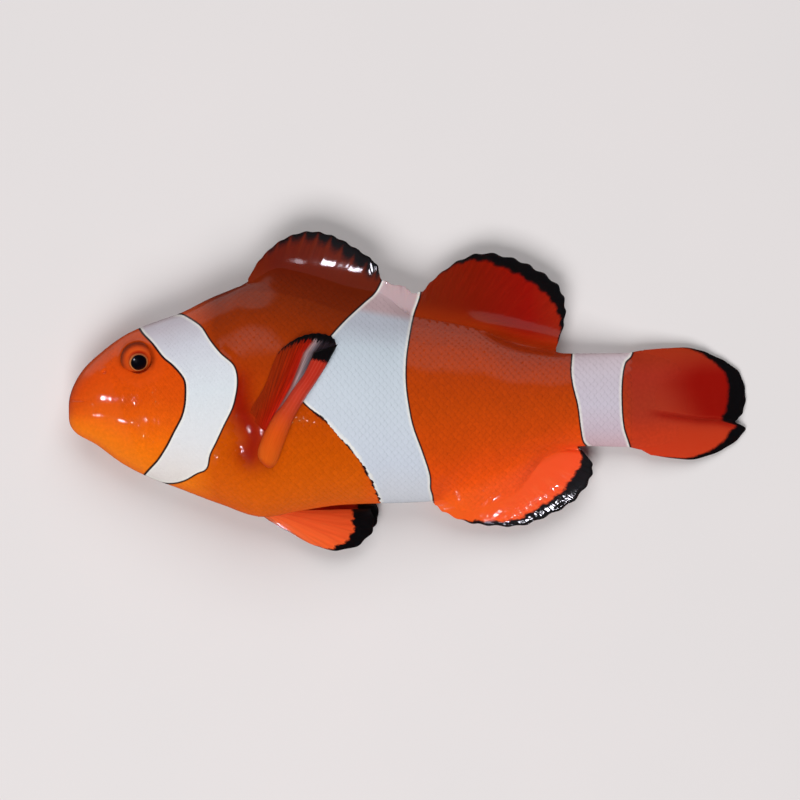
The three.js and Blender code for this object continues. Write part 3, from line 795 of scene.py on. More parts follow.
def scale_piece(name, half, side, plate, pitch, row, on_head, low_x, high_x):
    """Lays the scales of one stretch of a flank, and keeps them as a plain, painted mesh."""
    seeds = scale_seeds(name, half, side, pitch, row, on_head, low_x, high_x)
    bpy.context.scene.collection.objects.link(seeds)
    laying = seeds.modifiers.new("scale_rows", "NODES")
    laying.node_group = rows_tree
    wanted = {"Plate": plate, "Skin": skin, "Patch share": PATCH * UNWRAP / (PLATE_LENGTH * pitch),
              "Paint": skin_paint}
    for socket in rows_tree.interface.items_tree:
        if socket.name in wanted:
            laying[socket.identifier] = wanted[socket.name]
    depsgraph = bpy.context.evaluated_depsgraph_get()
    mesh = bpy.data.meshes.new_from_object(seeds.evaluated_get(depsgraph))
    bpy.data.objects.remove(seeds)
    count = len(mesh.vertices)
    co, seat = np.empty(count * 3, np.float32), np.empty(count * 3, np.float32)
    mesh.vertices.foreach_get("co", co)
    mesh.attributes["seat"].data.foreach_get("vector", seat)
    co, seat = co.reshape(-1, 3), seat.reshape(-1, 3).astype(float)
    co[:, 2] = np.maximum(co[:, 2], 0.1 * FLOOR_CLEARANCE * MM)
    mesh.vertices.foreach_set("co", co.ravel())
    x, y = (co[:, :2] / MM).astype(float).T
    marks = markings(x, y)
    # along the front of the middle bar each scale is nearly all white or all orange, so it is saw-toothed
    at_root, _ = white_depth(seat[:, 0] + 0.3 * pitch, seat[:, 1])
    whole = 0.45 * smooth_step(-15, -13, x) * smooth_step(-1.5, -3, y) * smooth_step(-1, -3, x)
    marks["white"] = marks["white"] * (1 - whole) + at_root * whole
    marks["tone"] = seat[:, 2]
    put_values(mesh, marks)
    for used_up in ("root", "seat"):
        mesh.attributes.remove(mesh.attributes[used_up])
    return shown(name, mesh, skin_paint, "skin_orange")


rows_tree = scale_rows_tree()
body = scale_plate(BODY_PITCH, BODY_ROW), BODY_PITCH, BODY_ROW, False
head = scale_plate(HEAD_PITCH, HEAD_ROW), HEAD_PITCH, HEAD_ROW, True
scales = []
for flank, side, half in (("left", 1, upper), ("right", -1, lower)):
    for stretch, kind, low_x, high_x in (("shoulder", body, -27, -2), ("loin", body, -2, 26.2),
                                         ("cheek", head, -37, -19)):
        scales.append(scale_piece(f"scales_{flank}_{stretch}", half, side, *kind, low_x, high_x))

# --------------------------------------------------------------------------------------------
# Eyes: a flattened ball each, in its socket: an orange iris the colour of the cheek, a thin, dull
# gold ring, and a bulging black lens, all behind a clear wet dome that gives one smooth highlight.
EYE_RADIUS = (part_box("eye_left")[1].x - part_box("eye_left")[0].x) / 2 / MM
EYE_DEPTH = (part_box("eye_left")[1].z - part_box("eye_left")[0].z) / 2 / MM
PUPIL = 0.93
GOLD_RING = 1.07
EYE_TILT = math.radians(18)
EYE_TURN = math.radians(9.5)
EYE_TURNS = 72
BALL_INSET = 0.1
LENS_HEIGHT = 0.13
RING_HEIGHT = 0.05
IRIS_DEPTH = 0.04


def eye_mesh(name, node, side):
    """The ball as rings about its own axis, with the lens, ring and iris in relief."""
    reach = np.r_[np.linspace(0, PUPIL, 14), np.linspace(PUPIL + 0.03, GOLD_RING, 6),
                  np.linspace(GOLD_RING + 0.04, EYE_RADIUS, 20)]
    dome = EYE_DEPTH * np.sqrt(np.maximum(0, 1 - (reach / EYE_RADIUS) ** 2))
    lens = LENS_HEIGHT * np.sqrt(np.maximum(0, 1 - (reach / PUPIL) ** 2))
    ring = RING_HEIGHT * hump(reach - (PUPIL + GOLD_RING) / 2, 0.08)
    furrow = -IRIS_DEPTH * hump(reach - GOLD_RING - 0.12, 0.09)
    iris = -IRIS_DEPTH * smooth_step(PUPIL, GOLD_RING, reach) * smooth_step(EYE_RADIUS, 1.8, reach)
    front = dome - BALL_INSET + lens + ring + furrow + iris
    turn = 2 * np.pi * np.arange(EYE_TURNS) / EYE_TURNS
    rows, films, radii, heights = [], [], [], []
    behind = np.linspace(1, 0, 10)[1:]
    back_reach, back_height = EYE_RADIUS * behind, -EYE_DEPTH * np.sqrt(1 - behind**2)
    for r, h, d in zip(np.r_[reach, back_reach], np.r_[front, back_height], np.r_[dome, back_height]):
        r = max(r, 1e-3)
        rows.append(np.c_[r * np.cos(turn), r * np.sin(turn), np.full(EYE_TURNS, h)])
        out = np.c_[rows[-1][:, :2] / EYE_RADIUS**2, np.full(EYE_TURNS, d / EYE_DEPTH**2)]
        films.append(out / np.linalg.norm(out, axis=1, keepdims=True))
        radii.append(np.full(EYE_TURNS, r if h > -0.5 else EYE_RADIUS))
        # the sine of the turn tells the paint which half is uppermost, for the painted shade under the brow
        heights.append(np.sin(turn))
    sine, cosine = math.sin(EYE_TILT), math.cos(EYE_TILT)
    aside = math.sin(EYE_TURN), math.cos(EYE_TURN)
    tilt = np.array([[aside[1], 0, aside[0]], [0, 1, 0], [-aside[0], 0, aside[1]]])
    tilt = tilt @ np.array([[1, 0, 0], [0, cosine, -sine], [0, sine, cosine]])
    flip = np.diag([1, 1, side])
    points = np.vstack(rows) @ tilt.T @ flip
    film = np.vstack(films) @ tilt.T @ flip
    low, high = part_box(node)
    points += np.array((low + high) / 2) / MM
    faces = []
    for i in range(len(rows) - 1):
        for j in range(EYE_TURNS):
            a, b = i * EYE_TURNS + j, i * EYE_TURNS + (j + 1) % EYE_TURNS
            faces.append([a, a + EYE_TURNS, b + EYE_TURNS, b][::side])
    last = (len(rows) - 1) * EYE_TURNS
    faces += [[*range(EYE_TURNS)][::side], [*range(last, last + EYE_TURNS)][::-side]]
    return mesh_of(name, points, faces, {"film": film, "reach": np.concatenate(radii),
                                         "brow": np.concatenate(heights)})


def paint_eye():
    """A living eye: black lens, gold ring and banded orange iris under a clear, wet cornea, its upper half
    darker as painted shade under the brow.
    """
    material, tree = new_material("wet_fish_eye")
    reach, brow = (add(tree, "Attribute", attribute_name=key, out="Fac") for key in ("reach", "brow"))
    place = add(tree, "TexCoord", out="Object")
    fleck = add(tree, "TexNoise", {"Vector": place, "Scale": 1800, "Detail": 3})
    share = add(tree, "Math", [reach, 1 / EYE_RADIUS], operation="MULTIPLY")
    share = add(tree, "Math", [fleck, 0.04, share], operation="MULTIPLY_ADD")
    share = add(tree, "Math", [share, 0.02], operation="SUBTRACT")
    at = [r / EYE_RADIUS for r in (PUPIL, PUPIL + 0.05, GOLD_RING, GOLD_RING + 0.07, 1.28, 1.5, 1.72, 1.95)]
    # the upper half of the ring and iris is darker than the lower: painted shade under the brow
    above, below = (add(tree, "ValToRGB", [share], stops=list(zip(at, hues))) for hues in (
        ("#030308", "#9a5838", "#a8502e", "#8e2006", "#a42408", "#d8541c", "#cc481a", "#8a2c0c"),
        ("#030308", "#b8743e", "#c87a40", "#a83c10", "#c44a14", "#c84812", "#b84010", "#8a3414")))
    hue = add(tree, "Mix", [brow, below, above], data_type="RGBA")
    film = add(tree, "Attribute", attribute_name="film", out="Vector")
    shader = add(tree, "BsdfPrincipled", {
        "Base Color": hue, "Roughness": 0.4, "IOR": 1.38, "Specular IOR Level": 0.2, "Coat Weight": 1,
        "Coat Roughness": 0.14, "Coat IOR": 1.38, "Coat Normal": film,
    })
    add(tree, "OutputMaterial", {"Surface": shader})
    return material


eye_paint = paint_eye()
eyes = {}
for flank, side in (("left", 1), ("right", -1)):
    mesh = eye_mesh(f"eye_ball_{flank}", f"eye_{flank}", side)
    eyes[flank] = shown(f"eye_ball_{flank}", mesh, eye_paint, "eye", f"eye_{flank}")

# --------------------------------------------------------------------------------------------
# Spiny back fin: stiff spines leaning back, with a tough, glossy skin stretched between them. It is dark
# reddish brown, partly its own colour and partly painted shade, black between the spine tips, and its rear
# runs into the middle white bar.
SHEET_EDGE = 0.055
RIM_ROUND = 0.3
SINK = 1.3
ROOT_SHORT = 1.4


def foot_along(line, start, end, sink, rake):
    """A fin's foot along the back or the belly, sunk in the body, crowded forward as the rays lean."""
    def foot(u):
        x = start + (end - start) * u**rake
        return np.stack([x, line(x) + sink], axis=-1)
    return foot


def between(start, end):
    """A straight foot from one place to another."""
    return lambda u: np.array(start) * (1 - u[:, None]) + np.array(end) * u[:, None]


def ray_ridges(u, v, count, forks):
    """How much of a ray there is at each place: 1 along its middle, parting in two if it is a soft ray."""
    aside = np.abs((u * count) % 1 - 0.5)
    if not forks:
        return hump(aside, 0.22 - 0.09 * v)
    parting = smooth_step(0.3, 0.85, v)
    again = smooth_step(0.72, 1, v)
    branch = np.abs(aside - 0.21 * parting)
    return np.maximum(hump(branch - 0.085 * again, 0.15 - 0.085 * parting),
                      hump(branch + 0.085 * again, 0.15 - 0.085 * parting))


def closed_sheet(name, top, bottom, values):
    """A closed mesh of an upper and a lower grid of points, joined round their edges."""
    columns, rows = top.shape[0] - 1, top.shape[1] - 1
    for face in (top, bottom):
        face[..., 2] = np.maximum(face[..., 2], FLOOR_CLEARANCE)
    top[..., 2] = np.maximum(top[..., 2], bottom[..., 2] + 0.02)
    i, j = np.meshgrid(np.arange(columns), np.arange(rows), indexing="ij")
    k, wide, under = (i * (rows + 1) + j).ravel(), rows + 1, top[..., 0].size
    quads = np.stack([k, k + wide, k + wide + 1, k + 1], -1)
    loop = np.r_[np.arange(rows), rows + wide * np.arange(columns),
                 columns * wide + np.arange(rows, 0, -1), wide * np.arange(columns, 0, -1)]
    after = np.roll(loop, -1)
    sides = np.stack([loop, after, after + under, loop + under], -1)
    marks = markings(top[..., 0].ravel(), top[..., 1].ravel())
    flat = {key: np.tile(mark, 2) for key, mark in marks.items()}
    for key, value in values.items():
        value = np.broadcast_to(value, top.shape[:2] + np.shape(value)[2:])
        flat[key] = np.concatenate([value.reshape(-1, *value.shape[2:])] * 2)
    mesh = mesh_of(name, np.vstack([top.reshape(-1, 3), bottom.reshape(-1, 3)]),
                   np.vstack([quads, (quads + under)[:, ::-1], sides]), flat)
    work = bmesh.new()
    work.from_mesh(mesh)
    bmesh.ops.recalc_face_normals(work, faces=work.faces)
    work.to_mesh(mesh)
    work.free()
    return mesh


def fin_mesh(name, foot, margin, rays, band, columns, rows, forks=True, ridge=0.04, scallop=0.25, lift=None,
             root_half=0.5, fore=None):
    """A fin as a closed sheet over its rays. An upright fin lies in the middle sheet of the body, and its
    foot is thickened under the skin; any other has its own lift. band gives the black margin's width in
    mm at places along the fin, and fore where its own colours lie, which is along it if not given."""
    u = np.linspace(0, 1, columns + 1)[:, None]
    v = np.linspace(0, 1, rows + 1)[None, :] ** 0.9
    tips = 0.5 + 0.5 * np.cos(2 * np.pi * (u[:, 0] * rays - 0.5))
    start, end = foot(u[:, 0]), margin(u[:, 0])
    length = np.maximum(np.hypot(*(end - start).T), 0.05)
    ends = smooth_step(0, 0.06, u[:, 0]) * smooth_step(1, 0.94, u[:, 0])
    end = start + (end - start) * (1 - scallop * (1 - tips) * ends / length)[:, None]
    plan = start[:, None] * (1 - v[..., None]) + end[:, None] * v[..., None]
    x, y = plan[..., 0], plan[..., 1]
    length = length[:, None]
    along_u = np.hypot(np.gradient(x, axis=0), np.gradient(y, axis=0)).mean() * columns
    to_side = np.minimum(u, 1 - u) * along_u + 4 * (1 - smooth_step(0, 0.5, v))
    to_edge = (1 - v) * length
    thin = np.sqrt(np.clip(np.minimum(to_edge, to_side) / RIM_ROUND, 0, 1))
    ray = ray_ridges(u, v, rays, forks)
    if lift is None:
        z = lie(x, y)
        ray = ray * smooth_step(0, 3, skirt_end(x, y))
        deeper = np.sign(y - middle(x)) * ROOT_SHORT
        half = (SHEET_EDGE + ridge * ray) * thin + np.minimum(0.85 * thickness(x, y + deeper), 0.5)
    else:
        z = lift(u, v, x, y)
        half = (SHEET_EDGE + ridge * ray * (1 - 0.4 * v)) * thin
        half = half + root_half * np.clip(1 - v / 0.22, 0, 1) ** 2
    grid = np.stack([x, y, z], axis=-1)
    normal = np.cross(np.gradient(grid, axis=0), np.gradient(grid, axis=1))
    normal /= np.maximum(np.linalg.norm(normal, axis=-1, keepdims=True), 1e-9)
    normal *= np.sign(normal[..., 2].mean())
    values = {
        "ray": ray, "fore": fore(x, y) if fore else u,
        "ink": np.interp(u, *np.array(band, float).T) - to_edge,
        "grain": np.stack(np.broadcast_arrays(u * rays, v * length, 0 * v), axis=-1),
    }
    return closed_sheet(name, grid + normal * half[..., None], grid - normal * half[..., None], values)


SEGMENT = 0.34


def paint_fin(name, ray_tint, own=None, tint_share=0.2, streaks=0.15, between_rays=0.2, ink_soft=0.3,
              ink_rough=0.25):
    """Wet fin skin: pigment in a clear membrane, so it is glossy, streaked along the rays, and glows at
    thin edges. An upright fin shares the body's pigment; own gives another fin's colours along it."""
    material, tree = new_material(name)
    value = {key: add(tree, "Attribute", attribute_name=key, out="Fac")
             for key in ("ray", "ink", "fore", "on_fin")}
    grain = add(tree, "Attribute", attribute_name="grain", out="Vector")
    streak_place = add(tree, "Mapping", {"Vector": grain, "Scale": (5, 0.3, 1)})
    streak = add(tree, "TexNoise", {"Vector": streak_place, "Scale": 1, "Detail": 3})
    cells_place = add(tree, "Mapping", {"Vector": grain, "Scale": (4, 3, 1)})
    cells = add(tree, "TexNoise", {"Vector": cells_place, "Scale": 1, "Detail": 3})
    if own:
        hue = add(tree, "ValToRGB", [value["fore"]], stops=own)
        place = add(tree, "TexCoord", out="Object")
        clear = 1.0
        is_white = 0.0
    else:
        hue, is_white, place = pigment(tree)
        out = add(tree, "Math", [value["on_fin"]], operation="ABSOLUTE")
        clear = add(tree, "MapRange", [out, 3, 6])
    tinted = add(tree, "Math", [value["ray"], clear], operation="MULTIPLY")
    tinted = add(tree, "Math", [tinted, tint_share], operation="MULTIPLY")
    hue = add(tree, "Mix", [tinted, hue, ray_tint], data_type="RGBA")
    gain = add(tree, "MapRange", [streak, 0.3, 0.7, 1 - streaks, 1 + streaks])
    gain = add(tree, "Mix", [clear, 1, gain], data_type="FLOAT")
    hue = add(tree, "VectorMath", [hue, gain], operation="SCALE")
    # black margin, with a soft, uneven inner border that reaches further down between the rays
    ragged = add(tree, "MapRange", [cells, 0.25, 0.75, -ink_rough, ink_rough])
    edge = add(tree, "Math", [value["ink"], ragged], operation="ADD")
    edge = add(tree, "Math", [value["ray"], -between_rays, edge], operation="MULTIPLY_ADD")
    ink = add(tree, "MapRange", [edge, -ink_soft, ink_soft * 0.4], interpolation_type="SMOOTHSTEP")
    unmarked = add(tree, "MapRange", [is_white, 0, 1, 1, 0])
    ink = add(tree, "Math", [ink, unmarked], operation="MULTIPLY")
    hue = add(tree, "Mix", [ink, hue, "#0c0a0c"], data_type="RGBA")
    # the rays are built of short segments, which show as fine cross ripples
    along = add(tree, "SeparateXYZ", [grain], out="Y")
    ripple = add(tree, "Math", [along, 2 * math.pi / SEGMENT], operation="MULTIPLY")
    ripple = add(tree, "Math", [ripple], operation="SINE")
    ripple = add(tree, "Math", [ripple, tinted], operation="MULTIPLY")
    ripple = add(tree, "Math", [streak, 0.8, ripple], operation="MULTIPLY_ADD")
    bump = add(tree, "Bump", {"Height": ripple, "Strength": 0.3, "Distance": 0.00002})
    shape = add(tree, "NewGeometry", out="Normal")
    shader = add(tree, "BsdfPrincipled", {
        "Base Color": hue, "Normal": bump, "Coat Normal": drops_on(tree, place, shape), **WET_FLESH,
        "Subsurface Weight": 0.2, "Subsurface Radius": (1.0, 0.25, 0.12), "Subsurface Scale": 0.0006,
    })
    add(tree, "OutputMaterial", {"Surface": shader})
    return material


spiny_paint = paint_fin("wet_brown_fin_skin", ray_tint="#6a2208", tint_share=0.4, between_rays=0.75,
                        ink_soft=1.1, ink_rough=0.2, streaks=0.12)
spiny_fin = shown("back_fin_spiny", fin_mesh(
    "back_fin_spiny", foot_along(back_line, -19.2, 0.4, -SINK, 1.55),
    through([(-19.3, 13.6), (-17.8, 16.1), (-15.3, 18.35), (-12.2, 19.4), (-9.2, 18.9), (-6.4, 17.4),
             (-3.9, 15.5), (-3.2, 13.6), (-0.4, 12.7)]), 15,
    [(0, -1.5), (0.1, -0.5), (0.2, 0.3), (0.32, 0.7), (0.5, 1.1), (0.65, 1.7), (0.74, 1.5), (0.8, 0.6),
     (0.9, -1), (1, -1)],
    columns=240, rows=60, forks=False, ridge=0.008, scallop=0.14),
    spiny_paint, "fin_dark_red", "dorsal_fin_spiny")

# --------------------------------------------------------------------------------------------
# Soft back fin: branching, jointed rays under a thin skin, deep red, partly its own colour and partly
# painted shade, with a finely scalloped black margin. Its rear foot is swollen over a crease along the
# back.
soft_paint = paint_fin("wet_red_fin_skin", ray_tint="#9c1c08", tint_share=0.15, streaks=0.08, ink_rough=0.1,
                       between_rays=0.1, ink_soft=0.4)
soft_fin = shown("back_fin_soft", fin_mesh(
    "back_fin_soft", foot_along(back_line, -0.9, 17.7, -SINK, 1.5),
    through([(-0.9, 12.75), (1.3, 12.1), (3, 13.75), (5.8, 15.85), (8.95, 16.9), (12.6, 16.25),
             (15.4, 14.95), (18, 13), (18.9, 10.6), (18.65, 8), (17.7, 5.45)]), 15,
    [(0, -1), (0.14, -0.6), (0.22, 0.05), (0.3, 0.4), (0.4, 0.9), (0.5, 1.5), (0.7, 1.75), (0.78, 1.3),
     (0.85, 0.8), (0.95, 0.3), (1, -0.2)],
    columns=300, rows=72, ridge=0.02, scallop=0.26), soft_paint, "fin_dark_red", "dorsal_fin_soft")

# --------------------------------------------------------------------------------------------
# Anal fin: soft rays again, bright orange, partly its own colour and partly painted light shining through
# it, edged in black from its lowest point round to the rear.
anal_paint = paint_fin("wet_orange_fin_skin", ray_tint="#f87a44", tint_share=0.25, streaks=0.05,
                       ink_rough=0.15, between_rays=0.1)
anal_fin = shown("anal_fin_soft", fin_mesh(
    "anal_fin_soft", foot_along(belly_line, 3, 20.2, SINK, 1.4),
    through([(2.9, -13.2), (4, -14.3), (6.8, -15.6), (9.9, -16.1), (13.6, -16.1), (16.8, -14.9),
             (19.8, -13.2), (21.8, -10.7), (22.15, -8.6), (20.5, -6.7)]), 14,
    [(0, -1), (0.17, -0.6), (0.23, 0.2), (0.3, 0.5), (0.42, 0.8), (0.52, 1.3), (0.62, 1.7), (0.75, 2.0),
     (0.88, 1.5), (0.96, 1), (1, 0.5)],
    columns=280, rows=64, ridge=0.015, scallop=0.2), anal_paint, "fin_orange", "anal_fin")

# --------------------------------------------------------------------------------------------
# Tail fin: a rounded fan of branching rays, dark red above, brighter below, with a broad black
# end. Its upper half laps over the lower along a fold near the middle ray.
tail_paint = paint_fin("wet_tail_fin_skin", ray_tint="#b8281a", tint_share=0.22, streaks=0.18,
                       ink_rough=0.12, between_rays=0.1, ink_soft=0.4)
shown("tail_fin_fan", fin_mesh(
    "tail_fin_fan", between((26.2, 4.1), (26.2, -5.9)),
    through([(28.4, 5.15), (33.6, 5.45), (36.9, 4.5), (39.9, 2.6), (40.8, -0.2), (40.4, -2.5),
             (39.6, -3.55), (40.8, -4.45), (38.6, -6.6), (34.4, -8.1), (29.2, -7.55)]), 15,
    [(0, -0.6), (0.1, 0.15), (0.19, 0.7), (0.28, 1.5), (0.42, 2.1), (0.55, 1.9), (0.6, 1.5), (0.66, 0.7),
     (0.72, 1.6), (0.8, 1.0), (0.9, 0.55), (0.97, 0), (1, -0.5)],
    columns=300, rows=80, ridge=0.02, scallop=0.1), tail_paint, "fin_dark_red", "caudal_fin")

# --------------------------------------------------------------------------------------------
# Breast fins: the left one is half shut and points up and back over the flank. Its front rays lie
# in a low, dark lobe, then comes a pale folded web, and its rear rays are drawn together in a
# thick strap over that. The right one is folded flat between the flank and the floor.
WEB_LINE = [(-16.4, -3.6), (-15.2, -1.6), (-13.95, 0.6), (-13.05, 2.9), (-12.4, 4.7), (-11.4, 6)]


def beside_web(x, y):
    """How far right of the web's left edge a place is, in mm."""
    line = np.array(WEB_LINE)
    return (x - np.interp(y, line[:, 1], line[:, 0])) * 0.88


def on_flank(u, v, x, y):
    beside = beside_web(x, y)
    lobe = 0.45 * hump(beside + 1.3, 0.9) + 0.1 * hump(beside + 0.35, 0.3) - 0.1 * hump(beside - 0.25, 0.25)
    rise = smooth_step(0, 0.4, v) * (1 - 0.35 * smooth_step(0.6, 1, v)) * smooth_step(0, 0.2, u)
    return flank_top(x, y) - 0.3 * (1 - smooth_step(0, 0.25, v)) + 0.1 + (0.15 + lobe) * rise


# Its colours across the fin: dark red lobe, a pale web, then grey to near black right of the web, partly
# the membrane's own dark and partly painted shadow along the fold under the strap's edge.
lobe_paint = paint_fin("wet_breast_fin_skin", own=(
    (0.0, "#962c08"), (0.2, "#8e2406"), (0.36, "#9c1a04"), (0.47, "#b01c0c"), (0.5, "#8c5c58"),
    (0.54, "#aa8e90"), (0.6, "#6e6066"), (0.68, "#2e242a")),
    ray_tint="#181014", tint_share=0.3, streaks=0.35, between_rays=0.5, ink_soft=0.4)
shown("breast_fin_left", fin_mesh(
    "breast_fin_left",
    through([(-18.9, -2.6), (-18, -3.6), (-17.2, -4.4), (-16.5, -4.6), (-16.2, -4.2)]),
    through([(-18.5, -1.6), (-17.8, -0.5), (-16.8, 1.4), (-16.1, 3.4), (-15.3, 4.95), (-13.65, 6.25),
             (-11.9, 6.95), (-10.3, 7), (-9, 6.5), (-8.7, 5.4), (-10, 3.6), (-11.6, 1.2)]), 22,
    [(0, -0.5), (0.3, -0.3), (0.37, 0.3), (0.45, 0.8), (0.55, 1.0), (0.66, 1.2), (0.74, 0.8), (0.8, 0),
     (1, -1)],
    columns=260, rows=64, scallop=0.08, ridge=0.02, lift=on_flank, root_half=0.25,
    fore=lambda x, y: np.clip(0.5 + 0.16 * beside_web(x, y), 0, 1)),
    lobe_paint, "fin_dark_red", "pectoral_fin_left")

STRAP_HEIGHT = 0.95
STRAP_LENGTH = 16
STRAP_RAYS = 5
STRAP_END = 0.07
STRAP_ROWS, STRAP_COLUMNS = 181, 33
strap_left = through([(-17.6, -8.4), (-17.95, -7.2), (-17.4, -5.4), (-16.1, -2.9), (-15, -1.5),
                      (-13.7, 0.45), (-12.5, 2.1), (-11.75, 3.6), (-11.3, 4.75)])
strap_right = through([(-16.4, -9.2), (-15.6, -8.2), (-14.8, -6.1), (-14, -4), (-13.3, -2.5), (-12.2, -0.6),
                       (-11, 1.2), (-9.6, 3.5), (-8.45, 5.7)])
s, t = np.linspace(0, 1, STRAP_ROWS)[:, None], np.linspace(0, 1, STRAP_COLUMNS)[None, :]
closing = np.clip(s / STRAP_END, 0, 1)
closing = np.sqrt(closing * (2 - closing))
spread = 0.5 + (t - 0.5) * (0.25 + 0.75 * closing)
plan = strap_left(s[:, 0])[:, None] * (1 - spread[..., None])
plan = plan + strap_right(s[:, 0])[:, None] * spread[..., None]
x, y = plan[..., 0], plan[..., 1]
arch = np.sin(math.pi * t) ** 0.55
height = STRAP_HEIGHT * closing * (1 - 0.5 * smooth_step(0.5, 1, s))
height = height * np.sqrt(np.clip((1.003 - s) / 0.03, 0.02, 1))
rays = ray_ridges(t, s, STRAP_RAYS, forks=False)
seat = np.repeat(flank_top(x, y).max(axis=1, keepdims=True), STRAP_COLUMNS, axis=1)
seat = (seat + 0.1 + 0.35 * smooth_step(0.1, 0.5, s)) * 0.6 + (flank_top(x, y) + 0.25) * 0.4
top = np.stack([x, y, seat + height * arch + 0.008 * rays * smooth_step(0.4, 0.8, s)], axis=-1)
bottom = np.stack([x, y, seat - 0.12 * arch], axis=-1)
strap_values = {
    "ray": rays * smooth_step(0.2, 0.8, s), "ink": 1.5 + 0.5 * t - (1 - s) * STRAP_LENGTH, "fore": s,
    "grain": np.stack(np.broadcast_arrays(STRAP_RAYS * t, STRAP_LENGTH * s, 0 * s), axis=-1),
}
strap_paint = paint_fin("wet_breast_strap_skin", own=(
    (0.0, "#b8380c"), (0.1, "#d45c16"), (0.3, "#d05014"), (0.45, "#c24420"), (0.6, "#c03c28"),
    (0.75, "#b83020"), (1.0, "#b02c1c")),
    ray_tint="#e87060", tint_share=0.15, streaks=0.06, between_rays=0.1)
shown("breast_fin_left_strap", closed_sheet("breast_fin_left_strap", top, bottom, strap_values),
              strap_paint, "fin_dark_red", "pectoral_fin_left")

shown("breast_fin_right", fin_mesh(
    "breast_fin_right", through([(-20, -2.6), (-19.4, -5), (-18.8, -6.4)]),
    through([(-18.2, 1.2), (-15.8, 4.6), (-12.8, 6.6), (-9.6, 7), (-9.4, 4.4), (-11.6, 0.6), (-14, -3.6),
             (-16.6, -7.4)]), 16, [(0, 0.2), (0.3, 1.2), (0.6, 1.2), (1, 0.2)],
    columns=200, rows=40, scallop=0.1, lift=lambda u, v, x, y: 0.3 + 0 * x, root_half=0.1),
    strap_paint, "fin_dark_red", "pectoral_fin_right")

# --------------------------------------------------------------------------------------------
# Belly fins: a pair under the breast, each one spine and five branching rays, orange with a black end.
belly_paint = paint_fin("wet_belly_fin_skin", own=((0.0, "#fa6a30"), (0.35, "#fa662e"), (0.6, "#f05a2a"),
                                                   (1.0, "#e04e22")),
                        ray_tint="#c83c18", tint_share=0.2, streaks=0.05, ink_rough=0.15)
belly_fins = []
for flank, dx, dy, root_height, tip_height in (("left", 0, 0, 5.6, 2.6), ("right", 0.5, 1, 3.1, 1.2)):
    moved = [(x + dx, y + dy) for x, y in (
        (-16.9, -15.4), (-14.4, -16.8), (-11.4, -18.45), (-8.8, -19.1), (-6.3, -18.6), (-4.7, -17.3),
        (-4.05, -15.8), (-4.6, -14))]
    mesh = fin_mesh(
        f"belly_fin_{flank}", between((-18.1 + dx, -14.4 + dy), (-15.4 + dx, -14.2 + dy)),
        through(moved), 6,
        [(0, -1), (0.27, 0), (0.43, 0.6), (0.57, 1.5), (0.71, 2.0), (0.86, 2.7), (1, 2.2)],
        columns=150, rows=50, scallop=0.22, ridge=0.03,
        lift=lambda u, v, x, y: root_height + (tip_height - root_height) * v + 0 * x)
    belly_fins.append(shown(f"belly_fin_{flank}", mesh, belly_paint, "fin_orange", f"pelvic_fin_{flank}"))

# --------------------------------------------------------------------------------------------
# Floor, light and camera: a plain pale floor in soft light. The camera looks straight down.
FLOOR_REACH = 900
corners = [(FLOOR_REACH * a, FLOOR_REACH * b, 0) for a, b in ((-1, -1), (1, -1), (1, 1), (-1, 1))]
floor_mesh = mesh_of("floor", corners, [[0, 1, 2, 3]], smooth=False)
floor = bpy.data.objects.new("floor", floor_mesh)
bpy.context.scene.collection.objects.link(floor)
matte, tree = new_material("matte_pale_board")
fibre = add(tree, "TexNoise", {"Vector": add(tree, "TexCoord", out="Object"), "Scale": 40})
tint = add(tree, "Mix", [fibre, "#e2dcdc", "#dedada"], data_type="RGBA")
matte_shader = add(tree, "BsdfPrincipled", {"Base Color": tint, "Roughness": 0.8})
add(tree, "OutputMaterial", {"Surface": matte_shader})
floor_mesh.materials.append(matte)


def lamp(name, place, size, power, aim=(0, 0, 5), shape="RECTANGLE", colour="#ffffff"):
    """A soft box of a size in mm at a place in mm, turned to the fish."""
    light = bpy.data.lights.new(name, "AREA")
    light.shape, light.size, light.size_y = shape, size[0] * MM, size[1] * MM
    light.energy, light.color = power, linear(colour)[:3]
    box = bpy.data.objects.new(name, light)
    bpy.context.scene.collection.objects.link(box)
    away = np.array(place, float) - np.array(aim, float)
    box.location = [c * MM for c in place]
    box.rotation_euler = Vector(away).to_track_quat("Z", "Y").to_euler()
    box.visible_camera = False
    return box


# two soft boxes, which the wet film doesn't mirror. They are sampled singly, because mixed sampling
# miscounts them beside lamps that are linked to single pieces.
for name, place, size, power in (("key", (-130, -430, 610), 480, 4.9), ("fill", (40, 500, 640), 700, 4.4)):
    box = lamp(name, place, (size, size), power)
    box.visible_glossy = False
    box.data.cycles.use_multiple_importance_sampling = False
floor.visible_glossy = False


def only_mirrored(box, pieces):
    """Flags a lamp off from all but the wet film on some pieces."""
    box.visible_diffuse = False
    lit = bpy.data.collections.new(f"lit_by_{box.name}")
    for piece in pieces:
        lit.objects.link(piece)
    box.light_linking.receiver_collection = lit


